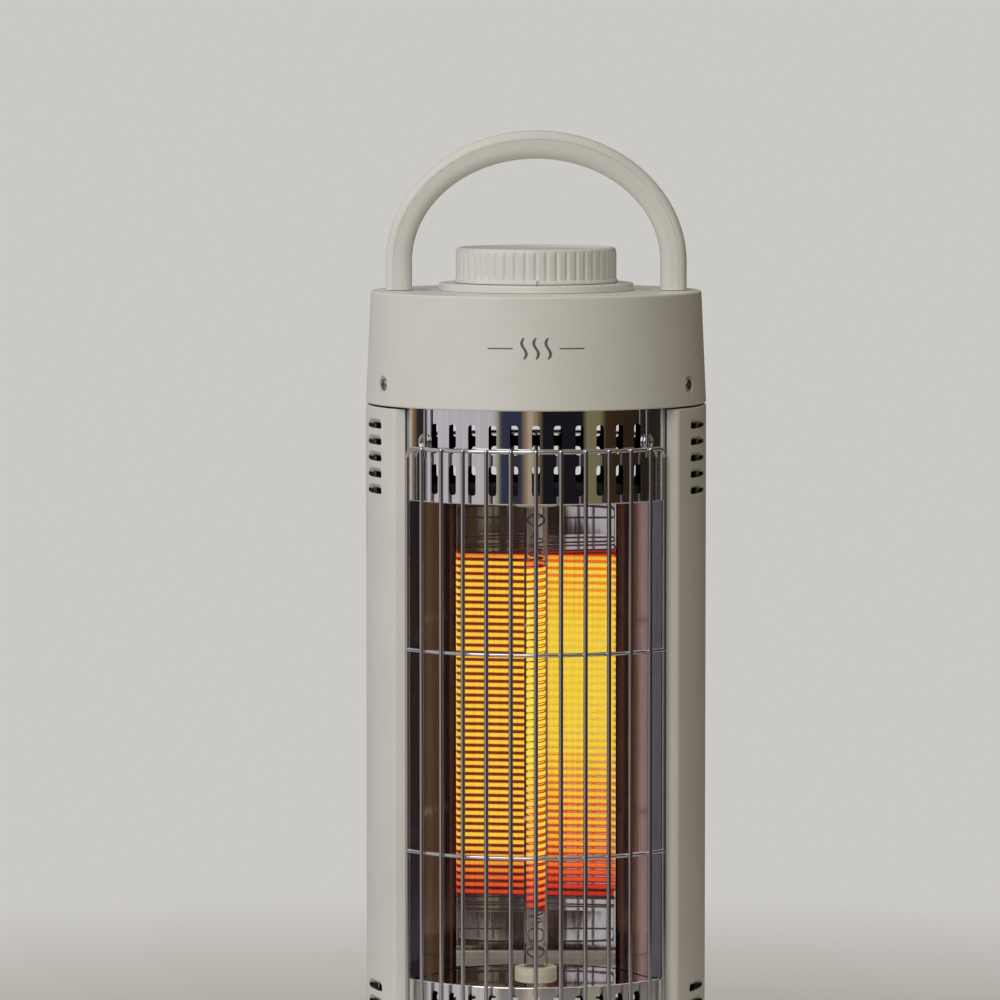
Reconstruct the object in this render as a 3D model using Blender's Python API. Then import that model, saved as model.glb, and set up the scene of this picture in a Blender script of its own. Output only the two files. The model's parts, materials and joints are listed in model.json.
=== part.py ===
"""Two-sided radiant tower heater on a round base, standing on z = 0, front towards -Y.

Two quartz lamps stand back to back in mirror troughs between an upper and a lower slotted pan.
Curved side columns and wire guards close the tower, a round head carries the rotary control and
a fixed arch handle, and a tip-over plunger stands in the base. Units are metres.
"""

import math

import bmesh
import bpy
from mathutils import Matrix, Vector

GAP = 0.0003                 # between pieces that rest on each other

# Heights of the main levels above the floor
FOOT_HEIGHT = 0.0060
BASE_FLOOR = FOOT_HEIGHT + GAP
DECK_TOP = 0.0620            # base deck, where the tower starts
LOWER_DISC = 0.1103          # top face of the lower pan
UPPER_DISC = 0.3585          # bottom face of the upper pan
HEAD_BOTTOM = 0.4070
HEAD_TOP = 0.4654

# Radii of the tower, from outside to inside
BASE_RADIUS = 0.1180
COLUMN_RADIUS = 0.0890
GUARD_RADIUS = 0.0870
BAND_RADIUS = 0.0827

# Walls
PLASTIC = 0.0024
COLUMN_WALL = 0.0022
SHEET = 0.0008

# Side columns: angles are measured from straight sideways
COLUMN_CORNER = 0.0030
COLUMN_LIP = 0.0018          # thickness of the lips that face the front and the back
COLUMN_LIP_FACE = 0.0503     # their distance from the middle plane
COLUMN_LIP_EDGE = 0.0674
COLUMN_CLEARANCE = 0.0010    # shadow gap under the head
LOUVRE_COUNT = 5
LOUVRE_PITCH = 0.00848
LOUVRE_HEIGHT = 0.0060
LOUVRE_SLIT = 0.0020
LOUVRE_NEAR = math.radians(9.5)
LOUVRE_FAR = math.radians(24.0)
LOUVRE_END_MARGIN = 0.0050   # from the column's end to the first louvre

# Slotted bands
SLOT_COLUMNS = 11
SLOT_PITCH = math.radians(7.8)
SLOT_WIDTH = 0.0042
SLOT_SHOULDER = 0.0012       # height of the slot's pointed ends
SLOT_ROWS = ((0.0046, 0.0200), (0.0256, 0.0408))   # distances from the pan's disc
PLAIN_SIDE_STEPS = 8

# Lamps and reflectors
LAMP_OFFSET = 0.0330
TROUGH_VERTEX = 0.0024
TROUGH_FOCUS = 0.0305
TROUGH_HALF_WIDTH = 0.0420
WING_POINTS = ((0.0580, 0.0460), (0.0650, 0.0500))
REFLECTOR_SHEET = 0.0006
TUBE_RADIUS = 0.0062
TUBE_WALL = 0.0008
COIL_RADIUS = 0.0050
COIL_BOTTOM = 0.1426
COIL_TOP = 0.3271
COIL_PITCH = 0.0038
RIBBON_HEIGHT = 0.0021
RIBBON_THICKNESS = 0.0006
CAP_RADIUS = 0.0110
CAP_HEIGHT = 0.0036          # of the part above the pan's disc
CAP_SOCKET = 0.0022          # how deep the tube stands in the cap
CAP_NECK = 0.0034
CAP_NECK_LENGTH = 0.0060
CAP_CHAMFER = 0.0010
PIN_RADIUS = 0.0007
PIN_GRIP = 0.0025            # radius of the plug that holds the coil's end
PIN_GRIP_LENGTH = 0.0020

# Guards
WIRE_RADIUS = 0.00105
WIRE_PITCH = math.radians(8.5)
WIRE_STEPS_EACH_SIDE = 6     # the outermost pair is the frame's sides
GUARD_TOP = 0.3860
GUARD_BOTTOM = 0.0800
GUARD_RAILS = (0.1773, 0.2819)
GUARD_CORNER = 0.0050
GUARD_ARC_STEPS = 12
RAIL_RADIUS = GUARD_RADIUS - 0.0017
RAIL_WIRE = 0.0010
HOOK_WIRE = 0.00084
HOOK_ANGLE = math.radians(41.86)

# Head
HEAD_TOP_RADIUS = 0.0864
HEAD_RIM = 0.0018            # width of the eased rim round the deck
HEAD_SCREW_HEIGHT = 0.4181
HEAD_SCREW_SEAT = 0.0870     # distance of the screws' seats from the tower's axis
HEAD_SCREW_ANGLES = [math.radians(angle) for angle in (-63.5, 63.5, 116.5, -116.5)]
HEAD_FLOOR_LOW = HEAD_BOTTOM + GAP
HEAD_FLOOR_RADIUS = 0.0852
HEAD_FLOOR_TOP = 0.4265
HEAD_FLOOR_SHEET = 0.0010
DECK_LOW = HEAD_TOP - PLASTIC
TOP_SCREW_X = 0.0580
STRAP_SIZE = (0.0640, 0.0090, 0.0015)     # half length, half width and thickness
SWITCH_HALF = 0.0160
SWITCH_HEIGHT = 0.0180

# Control
DIAL_RADIUS = 0.0420
DIAL_HEIGHT = 0.0182
DIAL_RIBS = 48
DIAL_RIB_DEPTH = 0.0009
FLANGE_RADIUS = 0.0508
FLANGE_HEIGHT = 0.0037
SHAFT_RADIUS = 0.0030
SHAFT_HOLE = 0.0045

# Handle
HANDLE_CENTRE = 0.4801
HANDLE_OUTER = (0.0785, 0.0685)     # half width and height of the outer curve
HANDLE_INNER = (0.0650, 0.0540)
HANDLE_DEPTH = 0.0240
HANDLE_CAP = 0.0040                 # thickness of the outer shell
HANDLE_SOFT = 0.0028                # rounding of the outer shell's long edges
HANDLE_STEPS = 26
HANDLE_BOLT_X = 0.0692
HANDLE_BOLT_HOLE = 0.0028

# Tip-over switch
PLUNGER_X = 0.0220
PLUNGER_RADIUS = 0.0040
PLUNGER_TRAVEL = 0.0040
PLUNGER_STEM = 0.0034
COLLAR_RADIUS = 0.0068
BASE_PLATE = 0.0020
PLATE_TOP = BASE_FLOOR + BASE_PLATE
COLLAR_LOW = PLATE_TOP + PLUNGER_TRAVEL + GAP     # the collar stops the plunger on the plate
COLLAR_HIGH = COLLAR_LOW + 0.0015
GUIDE_LOW = COLLAR_HIGH + 0.0120
GUIDE_HIGH = GUIDE_LOW + 0.0015
PLUNGER_TOP = GUIDE_HIGH + 0.0060
BRACKET_TOP = 0.0500
BRACKET_SHEET = 0.0015

# Base fittings and wiring
FOOT_CIRCLE = 0.1000
BASE_SCREW_CIRCLE = 0.1030
BASE_SCREW_ANGLE = 11.0      # degrees, clear of the plate's own edges
GLAND_HEIGHT = 0.0520
LEAD_RADIUS = 0.08450        # in the space between the pans and the right column
LEAD_THICKNESS = 0.0013
LEAD_HOLE = 0.0022
LEADS = {"supply_lead": math.radians(103.0), "return_lead": math.radians(107.5)}

ROUND = 36                   # segments of the large turned parts
SMALL_ROUND = 12
SCREW_SIDES = 8

WARM_WHITE = ((0.72, 0.70, 0.65), 0.45, 0.0)
DARK_PLASTIC = ((0.05, 0.05, 0.05), 0.5, 0.0)
RUBBER = ((0.03, 0.03, 0.03), 0.8, 0.0)
MIRROR = ((0.85, 0.85, 0.87), 0.06, 1.0)
CHROME = ((0.75, 0.75, 0.76), 0.12, 1.0)
STEEL = ((0.55, 0.56, 0.57), 0.35, 1.0)
IRON = ((0.12, 0.12, 0.13), 0.6, 0.6)
GLASS = ((0.90, 0.92, 0.93), 0.03, 0.0)
CERAMIC = ((0.78, 0.72, 0.60), 0.6, 0.0)
CARBON = ((0.95, 0.35, 0.05), 0.6, 0.0)
SLEEVE = ((0.80, 0.80, 0.76), 0.7, 0.0)


# ---------------------------------------------------------------- tools

def clear_scene():
    for item in list(bpy.data.objects):
        bpy.data.objects.remove(item, do_unlink=True)


def add_object(name, mesh_builder, look=None, location=(0.0, 0.0, 0.0), turn_z=0.0):
    """Turn a bmesh into a named object; without a look it is a hidden cutter."""
    bmesh.ops.recalc_face_normals(mesh_builder, faces=mesh_builder.faces)
    mesh = bpy.data.meshes.new(name)
    mesh_builder.to_mesh(mesh)
    mesh_builder.free()
    mesh.shade_smooth()
    mesh.set_sharp_from_angle(angle=math.radians(35))
    item = bpy.data.objects.new(name, mesh)
    item.location = location
    item.rotation_euler = (0.0, 0.0, turn_z)
    bpy.context.scene.collection.objects.link(item)
    if look is None:
        item.hide_render = True
        item.display_type = "WIRE"
        return item
    colour, roughness, metallic = look
    material = bpy.data.materials.new(name + "_finish")
    material.use_nodes = True
    shader = material.node_tree.nodes["Principled BSDF"]
    shader.inputs["Base Color"].default_value = (*colour, 1.0)
    shader.inputs["Roughness"].default_value = roughness
    shader.inputs["Metallic"].default_value = metallic
    mesh.materials.append(material)
    return item


def boolean(target, other, operation):
    step = target.modifiers.new(operation.lower() + "_" + other.name, "BOOLEAN")
    step.operation = operation
    step.object = other


def cut(target, *cutters):
    for cutter in cutters:
        boolean(target, cutter, "DIFFERENCE")


def join(target, *others):
    for other in others:
        boolean(target, other, "UNION")


def turned(profile, segments=ROUND):
    """Spin (radius, height) points about Z. A profile that doesn't start on the axis is a loop."""
    builder = bmesh.new()
    points = [builder.verts.new((radius, 0.0, height)) for radius, height in profile]
    edges = [builder.edges.new(pair) for pair in zip(points, points[1:])]
    if profile[0][0] > 0.0:
        edges.append(builder.edges.new((points[-1], points[0])))
    bmesh.ops.spin(
        builder, geom=points + edges, cent=(0, 0, 0), axis=(0, 0, 1),
        angle=math.tau, steps=segments, use_merge=True,
    )
    bmesh.ops.remove_doubles(builder, verts=builder.verts, dist=1e-7)
    return builder


def prism(outline, low, high):
    """Extrude an outline of (x, y) points from low to high."""
    builder = bmesh.new()
    face = builder.faces.new([builder.verts.new((x, y, low)) for x, y in outline])
    grown = bmesh.ops.extrude_face_region(builder, geom=[face])
    moved = [part for part in grown["geom"] if isinstance(part, bmesh.types.BMVert)]
    bmesh.ops.translate(builder, verts=moved, vec=(0.0, 0.0, high - low))
    return builder


def box(low, high):
    (x0, y0, z0), (x1, y1, z1) = low, high
    return prism([(x0, y0), (x1, y0), (x1, y1), (x0, y1)], z0, z1)


def add_loft(builder, sections, ring=False):
    """Skin a row of sections, each a list of points; a ring joins the last to the first."""
    rows = [[builder.verts.new(point) for point in section] for section in sections]
    following = rows[1:] + ([rows[0]] if ring else [])
    for row, after in zip(rows, following):
        for k in range(len(row)):
            nxt = (k + 1) % len(row)
            builder.faces.new((row[k], row[nxt], after[nxt], after[k]))
    if not ring:
        builder.faces.new(rows[0])
        builder.faces.new(list(reversed(rows[-1])))


def loft(sections, ring=False):
    builder = bmesh.new()
    add_loft(builder, sections, ring)
    return builder


def add_wire(builder, points, radius, sides=6, ring=False):
    """Skin a round wire along points, its sections turned as little as possible."""
    path = [Vector(point) for point in points]
    count = len(path)
    sections = []
    across = None
    for k, here in enumerate(path):
        before = path[k - 1] if k or ring else here
        after = path[(k + 1) % count] if k < count - 1 or ring else here
        along = (after - before).normalized()
        if across is None:
            across = along.orthogonal()
        across = (across - along * across.dot(along)).normalized()
        other = along.cross(across)
        turns = [math.tau * side / sides for side in range(sides)]
        sections.append([here + radius * (across * math.cos(t) + other * math.sin(t)) for t in turns])
    add_loft(builder, sections, ring)


def wire(points, radius, sides=6, ring=False):
    builder = bmesh.new()
    add_wire(builder, points, radius, sides, ring)
    return builder


def around(radius, angle, height=0.0):
    """A point at an angle from the front, positive towards +X."""
    return (radius * math.sin(angle), -radius * math.cos(angle), height)


def rod_along(direction, centre, radius, length, sides=SMALL_ROUND):
    """A cylinder centred on a point, along a direction."""
    builder = bmesh.new()
    turn = Vector((0, 0, 1)).rotation_difference(Vector(direction)).to_matrix().to_4x4()
    bmesh.ops.create_cone(
        builder, cap_ends=True, segments=sides, radius1=radius, radius2=radius,
        depth=length, matrix=Matrix.Translation(centre) @ turn,
    )
    return builder


def screw_profile(head_radius, head_height, shank_radius, length):
    """A pan-head screw standing on its point: the head on top, its underside at z = 0."""
    return [
        (0.0, head_height), (head_radius * 0.8, head_height), (head_radius, 0.0),
        (shank_radius, 0.0), (shank_radius, -length), (0.0, -length),
    ]


# ---------------------------------------------------------------- base

def base_cover():
    rim = BASE_RADIUS
    wall = PLASTIC
    collar = COLUMN_RADIUS
    inner = collar - wall
    profile = [
        (0.0, DECK_TOP), (collar, DECK_TOP), (collar, 0.0440), (collar + 0.0022, 0.0370),
        (collar + 0.0080, 0.0315), (rim - 0.0100, 0.0250), (rim - 0.0035, 0.0215),
        (rim, 0.0150), (rim, FOOT_HEIGHT), (rim - wall, FOOT_HEIGHT), (rim - wall, 0.0140),
        (rim - 0.0110, 0.0225), (inner + 0.0060, 0.0290), (inner, 0.0440),
        (inner, DECK_TOP - wall), (0.0, DECK_TOP - wall),
    ]
    cover = add_object("base_cover", turned(profile), WARM_WHITE)
    for name, lead_angle in LEADS.items():
        centre = around(LEAD_RADIUS, lead_angle, DECK_TOP)
        cut(cover, add_object("deck_hole_" + name, rod_along((0, 0, 1), centre, LEAD_HOLE, 0.01)))
    hole = rod_along((0, 1, 0), (0.0, COLUMN_RADIUS, GLAND_HEIGHT), 0.0070, 0.0120)
    cut(cover, add_object("gland_hole", hole))


def cord_gland():
    """Bushing in the back of the base, pointing away from the heater."""
    profile = [
        (0.0038, -0.0080), (0.0065, -0.0080), (0.0065, 0.0006), (0.0092, 0.0006),
        (0.0092, 0.0028), (0.0068, 0.0040), (0.0056, 0.0150), (0.0038, 0.0150),
    ]
    builder = turned(profile, SMALL_ROUND)
    bmesh.ops.rotate(
        builder, verts=builder.verts, cent=(0, 0, 0), matrix=Matrix.Rotation(-math.pi / 2, 3, "X")
    )
    add_object("cord_gland", builder, RUBBER, (0.0, COLUMN_RADIUS, GLAND_HEIGHT))


def base_floor():
    radius = BASE_RADIUS - PLASTIC - GAP
    plate = add_object(
        "base_plate", turned([(0.0, BASE_PLATE), (radius, BASE_PLATE), (radius, 0.0), (0.0, 0.0)]),
        STEEL, (0.0, 0.0, BASE_FLOOR),
    )
    hole = rod_along((0, 0, 1), (PLUNGER_X, 0.0, BASE_FLOOR), PLUNGER_RADIUS + 0.0005, 0.02)
    cut(plate, add_object("plunger_hole", hole))
    ballast = [(0.0540, 0.0), (0.0920, 0.0), (0.0920, 0.0060), (0.0540, 0.0060)]
    add_object(
        "ballast_ring", turned(ballast, 24), IRON, (0.0, 0.0, BASE_FLOOR + BASE_PLATE + GAP)
    )
    foot = [
        (0.0, 0.0), (0.0080, 0.0), (0.0090, 0.0010), (0.0090, FOOT_HEIGHT), (0.0, FOOT_HEIGHT),
    ]
    for k in range(4):
        x, y, z = around(FOOT_CIRCLE, math.radians(45 + 90 * k))
        add_object(f"rubber_foot_{k + 1}", turned(foot, SMALL_ROUND), RUBBER, (x, y, z))
    for k in range(4):
        x, y, z = around(BASE_SCREW_CIRCLE, math.radians(BASE_SCREW_ANGLE + 90 * k), BASE_FLOOR)
        hole = rod_along((0, 0, 1), (x, y, z), 0.0019, 0.02)
        cut(plate, add_object(f"base_screw_hole_{k + 1}", hole))
        screw = turned(screw_profile(0.0035, 0.0022, 0.0015, 0.0060), SCREW_SIDES)
        bmesh.ops.rotate(
            screw, verts=screw.verts, cent=(0, 0, 0), matrix=Matrix.Rotation(math.pi, 3, "X")
        )
        add_object(f"base_screw_{k + 1}", screw, STEEL, (x, y, BASE_FLOOR - GAP))


def tip_over_switch():
    profile = [
        (0.0, GAP), (PLUNGER_RADIUS - 0.0008, GAP), (PLUNGER_RADIUS, 0.0011),
        (PLUNGER_RADIUS, COLLAR_LOW), (COLLAR_RADIUS, COLLAR_LOW), (COLLAR_RADIUS, COLLAR_HIGH),
        (PLUNGER_STEM, COLLAR_HIGH), (PLUNGER_STEM, PLUNGER_TOP), (0.0, PLUNGER_TOP),
    ]
    add_object("tip_plunger", turned(profile, 16), DARK_PLASTIC, (PLUNGER_X, 0.0, 0.0))

    turns, steps, radius = 5, 8, 0.0052
    low, high, thickness = COLLAR_HIGH + 0.0008, GUIDE_LOW - 0.0008, 0.0005
    path = []
    for k in range(turns * steps + 1):
        angle = math.tau * k / steps
        height = low + (high - low) * k / (turns * steps)
        path.append((radius * math.cos(angle), radius * math.sin(angle), height))
    add_object("tip_spring", wire(path, thickness, 4), STEEL, (PLUNGER_X, 0.0, 0.0))

    # Folded bracket: a foot on the plate, an upright, a guide arm and an arm over the switch
    far, near, toe, fold = 0.0170, -0.0100, 0.0270, BRACKET_SHEET
    seat, top = PLATE_TOP + GAP, BRACKET_TOP
    outline = [
        (toe, seat), (toe, seat + fold), (far + fold, seat + fold), (far + fold, top), (near, top),
        (near, top - fold), (far, top - fold), (far, GUIDE_HIGH), (near, GUIDE_HIGH),
        (near, GUIDE_LOW), (far, GUIDE_LOW), (far, seat),
    ]
    builder = prism(outline, -0.0080, 0.0080)
    bmesh.ops.rotate(
        builder, verts=builder.verts, cent=(0, 0, 0), matrix=Matrix.Rotation(math.pi / 2, 3, "X")
    )
    bracket = add_object("tip_switch_bracket", builder, STEEL, (PLUNGER_X, 0.0, 0.0))
    hole = rod_along((0, 0, 1), (PLUNGER_X, 0.0, GUIDE_LOW), PLUNGER_STEM + 0.0005, 0.01)
    cut(bracket, add_object("guide_hole", hole))
    low = (PLUNGER_X - 0.0090, -0.0032, PLUNGER_TOP + 0.0008)
    high = (PLUNGER_X + 0.0110, 0.0032, top - fold - GAP)
    add_object("tip_switch", box(low, high), DARK_PLASTIC)


def terminal_block():
    """Stepped strip: a raised spine with a shelf of terminals on each side."""
    outline = [
        (-0.0090, 0.0), (0.0090, 0.0), (0.0090, 0.0080), (0.0040, 0.0080),
        (0.0040, 0.0130), (-0.0040, 0.0130), (-0.0040, 0.0080), (-0.0090, 0.0080),
    ]
    builder = prism(outline, -0.0180, 0.0180)
    bmesh.ops.rotate(
        builder, verts=builder.verts, cent=(0, 0, 0), matrix=Matrix.Rotation(math.pi / 2, 3, "X")
    )
    add_object("terminal_block", builder, CERAMIC, (-0.0300, 0.0, PLATE_TOP + GAP))


# ---------------------------------------------------------------- tower

def band_cell(builder, corner, start, middle, end, low, high, slot_low, slot_high):
    """One slot of a band: two faces, left and right of the slot's centre line."""
    for side, edge in ((-1, start), (1, end)):
        swing = side * SLOT_WIDTH / 2 / BAND_RADIUS
        rim = [
            (middle, slot_low), (middle + swing, slot_low + SLOT_SHOULDER),
            (middle + swing, slot_high - SLOT_SHOULDER), (middle, slot_high),
        ]
        outline = [(middle, high), (edge, high), (edge, low), (middle, low)]
        points = [corner(angle, height) for angle, height in rim + outline]
        builder.faces.new(points if side < 0 else list(reversed(points)))


def slotted_pan(name, disc, rim):
    """Round mirror pan: a disc with a slotted wall up or down to its rim."""
    builder = bmesh.new()
    known = {}

    def corner(angle, height):
        key = (round(math.degrees(angle) % 360.0, 3), round(height, 6))
        if key not in known:
            known[key] = builder.verts.new(around(BAND_RADIUS, angle, height))
        return known[key]

    way = 1.0 if rim > disc else -1.0
    split = (SLOT_ROWS[0][1] + SLOT_ROWS[1][0]) / 2
    rows = ((0.0, split, SLOT_ROWS[0]), (split, abs(rim - disc), SLOT_ROWS[1]))
    ring = []
    half_band = SLOT_COLUMNS * SLOT_PITCH / 2
    side_step = (math.pi - 2 * half_band) / PLAIN_SIDE_STEPS
    for facing in (0.0, math.pi):
        for k in range(SLOT_COLUMNS):
            start = facing - half_band + k * SLOT_PITCH
            middle, end = start + SLOT_PITCH / 2, start + SLOT_PITCH
            ring += [start, middle]
            for near, far, (slot_near, slot_far) in rows:
                low, high = sorted((disc + way * near, disc + way * far))
                slot_low, slot_high = sorted((disc + way * slot_near, disc + way * slot_far))
                band_cell(builder, corner, start, middle, end, low, high, slot_low, slot_high)
        for k in range(PLAIN_SIDE_STEPS):
            start = facing + half_band + k * side_step
            ring.append(start)
            for near, far, _ in rows:
                heights = (disc + way * near, disc + way * far)
                corners = ((start, heights[0]), (start + side_step, heights[0]),
                           (start + side_step, heights[1]), (start, heights[1]))
                builder.faces.new([corner(angle, height) for angle, height in corners])
    builder.faces.new([corner(angle, disc) for angle in ring])
    pan = add_object(name, builder, MIRROR)
    shell = pan.modifiers.new("sheet", "SOLIDIFY")
    shell.thickness = SHEET
    shell.offset = -1.0
    for facing in (-1, 1):
        centre = (0.0, facing * LAMP_OFFSET, disc)
        neck_hole = rod_along((0, 0, 1), centre, CAP_NECK + 0.0004, 0.01)
        cut(pan, add_object(f"{name}_hole_{facing + 2}", neck_hole))
    return pan


def column_outline():
    """C-section facing +X: outer wall, rounded corners and lips turned in across the front."""
    pivot_y = COLUMN_LIP_FACE - COLUMN_CORNER
    pivot_x = math.sqrt((COLUMN_RADIUS - COLUMN_CORNER) ** 2 - pivot_y ** 2)
    reach = math.atan2(pivot_y, pivot_x)
    steps = 8
    outer = []
    for k in range(steps + 1):
        angle = reach * (2 * k / steps - 1)
        outer.append((COLUMN_RADIUS * math.cos(angle), COLUMN_RADIUS * math.sin(angle)))
    turned_in = []
    for share in (0.35, 0.7, 1.0):
        angle = reach + (math.pi / 2 - reach) * share
        turned_in.append((
            pivot_x + COLUMN_CORNER * math.cos(angle), pivot_y + COLUMN_CORNER * math.sin(angle)
        ))
    inner_radius = COLUMN_RADIUS - COLUMN_WALL
    lip_back = COLUMN_LIP_FACE - COLUMN_LIP
    turned_in += [
        (COLUMN_LIP_EDGE, COLUMN_LIP_FACE), (COLUMN_LIP_EDGE, lip_back),
        (math.sqrt(inner_radius ** 2 - lip_back ** 2), lip_back),
    ]
    inner = []
    for k in range(1, steps):
        angle = reach * (1 - 2 * k / steps)
        inner.append((inner_radius * math.cos(angle), inner_radius * math.sin(angle)))
    mirrored = [(x, -y) for x, y in reversed(turned_in)]
    return outer + turned_in + inner + mirrored


def louvre_cutters(bottom, top):
    """Wedges that slope in from the wall's outside and break through at their lower edge."""
    builder = bmesh.new()
    outside, inside = COLUMN_RADIUS + 0.0010, COLUMN_RADIUS - COLUMN_WALL - 0.0010
    slope = (LOUVRE_HEIGHT - LOUVRE_SLIT) / (outside - inside)
    steps = 2
    for k in range(2 * LOUVRE_COUNT):
        row = k % LOUVRE_COUNT
        if k < LOUVRE_COUNT:
            low = bottom + LOUVRE_END_MARGIN + row * LOUVRE_PITCH
        else:
            low = top - LOUVRE_END_MARGIN - LOUVRE_HEIGHT - row * LOUVRE_PITCH
        crown = low + LOUVRE_SLIT + slope * (outside - inside)
        section = ((outside, low), (outside, crown), (inside, low + LOUVRE_SLIT), (inside, low))
        for side in (-1, 1):
            sections = []
            for n in range(steps + 1):
                angle = side * (LOUVRE_NEAR + (LOUVRE_FAR - LOUVRE_NEAR) * n / steps)
                sections.append([
                    (r * math.cos(angle), r * math.sin(angle), z) for r, z in section
                ])
            add_loft(builder, sections)
    return builder


def columns():
    bottom, top = DECK_TOP + GAP, HEAD_BOTTOM - COLUMN_CLEARANCE
    outline = column_outline()
    for name, turn in (("right_column", 0.0), ("left_column", math.pi)):
        column = add_object(name, prism(outline, bottom, top), WARM_WHITE, turn_z=turn)
        cut(column, add_object(name + "_louvres", louvre_cutters(bottom, top), turn_z=turn))
    for name, side in (("right_strut", 1), ("left_strut", -1)):
        near, far = sorted((side * 0.0833, side * 0.0848))
        strut = box((near, -0.0140, bottom), (far, 0.0140, HEAD_BOTTOM - GAP))
        add_object(name, strut, STEEL)


def reflectors():
    """Parabolic trough round each lamp, with flat wings out to the columns."""
    trough_steps = 14
    edge = []
    for k in range(trough_steps + 1):
        x = TROUGH_HALF_WIDTH * (2 * k / trough_steps - 1)
        edge.append((x, TROUGH_VERTEX + x * x / (4 * TROUGH_FOCUS)))
    edge = [(-x, y) for x, y in reversed(WING_POINTS)] + edge + list(WING_POINTS)
    low, high = LOWER_DISC + GAP, UPPER_DISC - GAP
    for name, turn in (("front_reflector", 0.0), ("rear_reflector", math.pi)):
        builder = bmesh.new()
        lower = [builder.verts.new((x, -y, low)) for x, y in edge]
        upper = [builder.verts.new((x, -y, high)) for x, y in edge]
        for k in range(len(edge) - 1):
            builder.faces.new((lower[k], lower[k + 1], upper[k + 1], upper[k]))
        item = add_object(name, builder, MIRROR, turn_z=turn)
        sheet = item.modifiers.new("sheet", "SOLIDIFY")
        sheet.thickness = REFLECTOR_SHEET
        sheet.offset = 0.0


def cap_profile():
    """Ceramic cap standing on z = 0, with a socket for the tube and a neck through the pan."""
    socket = TUBE_RADIUS + 0.0004
    floor = CAP_HEIGHT - CAP_SOCKET
    return [
        (0.0, floor), (socket, floor), (socket, CAP_HEIGHT), (CAP_RADIUS - CAP_CHAMFER, CAP_HEIGHT),
        (CAP_RADIUS, CAP_HEIGHT - CAP_CHAMFER), (CAP_RADIUS, 0.0), (CAP_NECK, 0.0),
        (CAP_NECK, -CAP_NECK_LENGTH), (0.0, -CAP_NECK_LENGTH),
    ]


def pin_profile(reach):
    """Wire standing on z = 0 with a plug at its end that holds the coil."""
    end = reach + PIN_GRIP_LENGTH
    wire_line = [(0.0, 0.0), (PIN_RADIUS, 0.0), (PIN_RADIUS, reach)]
    plug = [(PIN_GRIP, reach), (PIN_GRIP, end), (0.0, end)]
    return wire_line + plug


def coil():
    """Flat ribbon wound into an open helix, four straight steps a turn."""
    steps = 4
    inner, outer = COIL_RADIUS - RIBBON_THICKNESS, COIL_RADIUS
    count = round((COIL_TOP - COIL_BOTTOM - RIBBON_HEIGHT) / COIL_PITCH * steps)
    sections = []
    for k in range(count + 1):
        angle = math.tau * k / steps
        low = COIL_BOTTOM + COIL_PITCH * k / steps
        high = low + RIBBON_HEIGHT
        corners = ((inner, low), (outer, low), (outer, high), (inner, high))
        sections.append([(r * math.cos(angle), r * math.sin(angle), z) for r, z in corners])
    return loft(sections)


def lamps():
    """Each lamp: a tube round its coil, between two caps with a pin each."""
    lower_seat, upper_seat = LOWER_DISC + GAP, UPPER_DISC - GAP
    tube_low = lower_seat + CAP_HEIGHT - CAP_SOCKET + GAP
    tube_high = upper_seat - CAP_HEIGHT + CAP_SOCKET - GAP
    bore = TUBE_RADIUS - TUBE_WALL
    tube = [(bore, tube_low), (TUBE_RADIUS, tube_low), (TUBE_RADIUS, tube_high), (bore, tube_high)]
    pin_low, pin_high = tube_low + 0.0006, tube_high - 0.0006
    cap = cap_profile()
    lower_pin = pin_profile(COIL_BOTTOM - pin_low)
    upper_pin = pin_profile(pin_high - COIL_TOP)
    for side, facing in (("front", -1), ("rear", 1)):
        y = facing * LAMP_OFFSET
        add_object(side + "_quartz_tube", turned(tube, 16), GLASS, (0.0, y, 0.0))
        add_object(side + "_carbon_coil", coil(), CARBON, (0.0, y, 0.0))
        for end, way, seat, pin_seat, pin in (
            ("lower", 1, lower_seat, pin_low, lower_pin), ("upper", -1, upper_seat, pin_high, upper_pin),
        ):
            parts = (("cap", cap, seat, CERAMIC, SMALL_ROUND), ("pin", pin, pin_seat, STEEL, 8))
            for part, profile, height, look, sides in parts:
                points = [(radius, way * rise) for radius, rise in profile]
                add_object(f"{side}_{end}_{part}", turned(points, sides), look, (0.0, y, height))


def guard_frame():
    """Closed line of the frame wire: a rectangle with eased corners, bent round the tower."""
    reach = WIRE_STEPS_EACH_SIDE * WIRE_PITCH
    corner = GUARD_CORNER / RAIL_RADIUS
    eighth, quarter = math.radians(45), math.radians(90)
    line = []
    for side, level, other, inward in ((1, GUARD_TOP, GUARD_BOTTOM, -1), (-1, GUARD_BOTTOM, GUARD_TOP, 1)):
        for k in range(GUARD_ARC_STEPS + 1):
            share = 2 * k / GUARD_ARC_STEPS - 1
            line.append(around(RAIL_RADIUS, side * (reach - corner) * share, level))
        for start, way, turns in ((level, inward, (eighth, quarter)), (other, -inward, (quarter, eighth))):
            for turn in turns:
                angle = side * (reach - corner + corner * math.sin(turn))
                line.append(around(RAIL_RADIUS, angle, start + way * GUARD_CORNER * (1 - math.cos(turn))))
    return line


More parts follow.
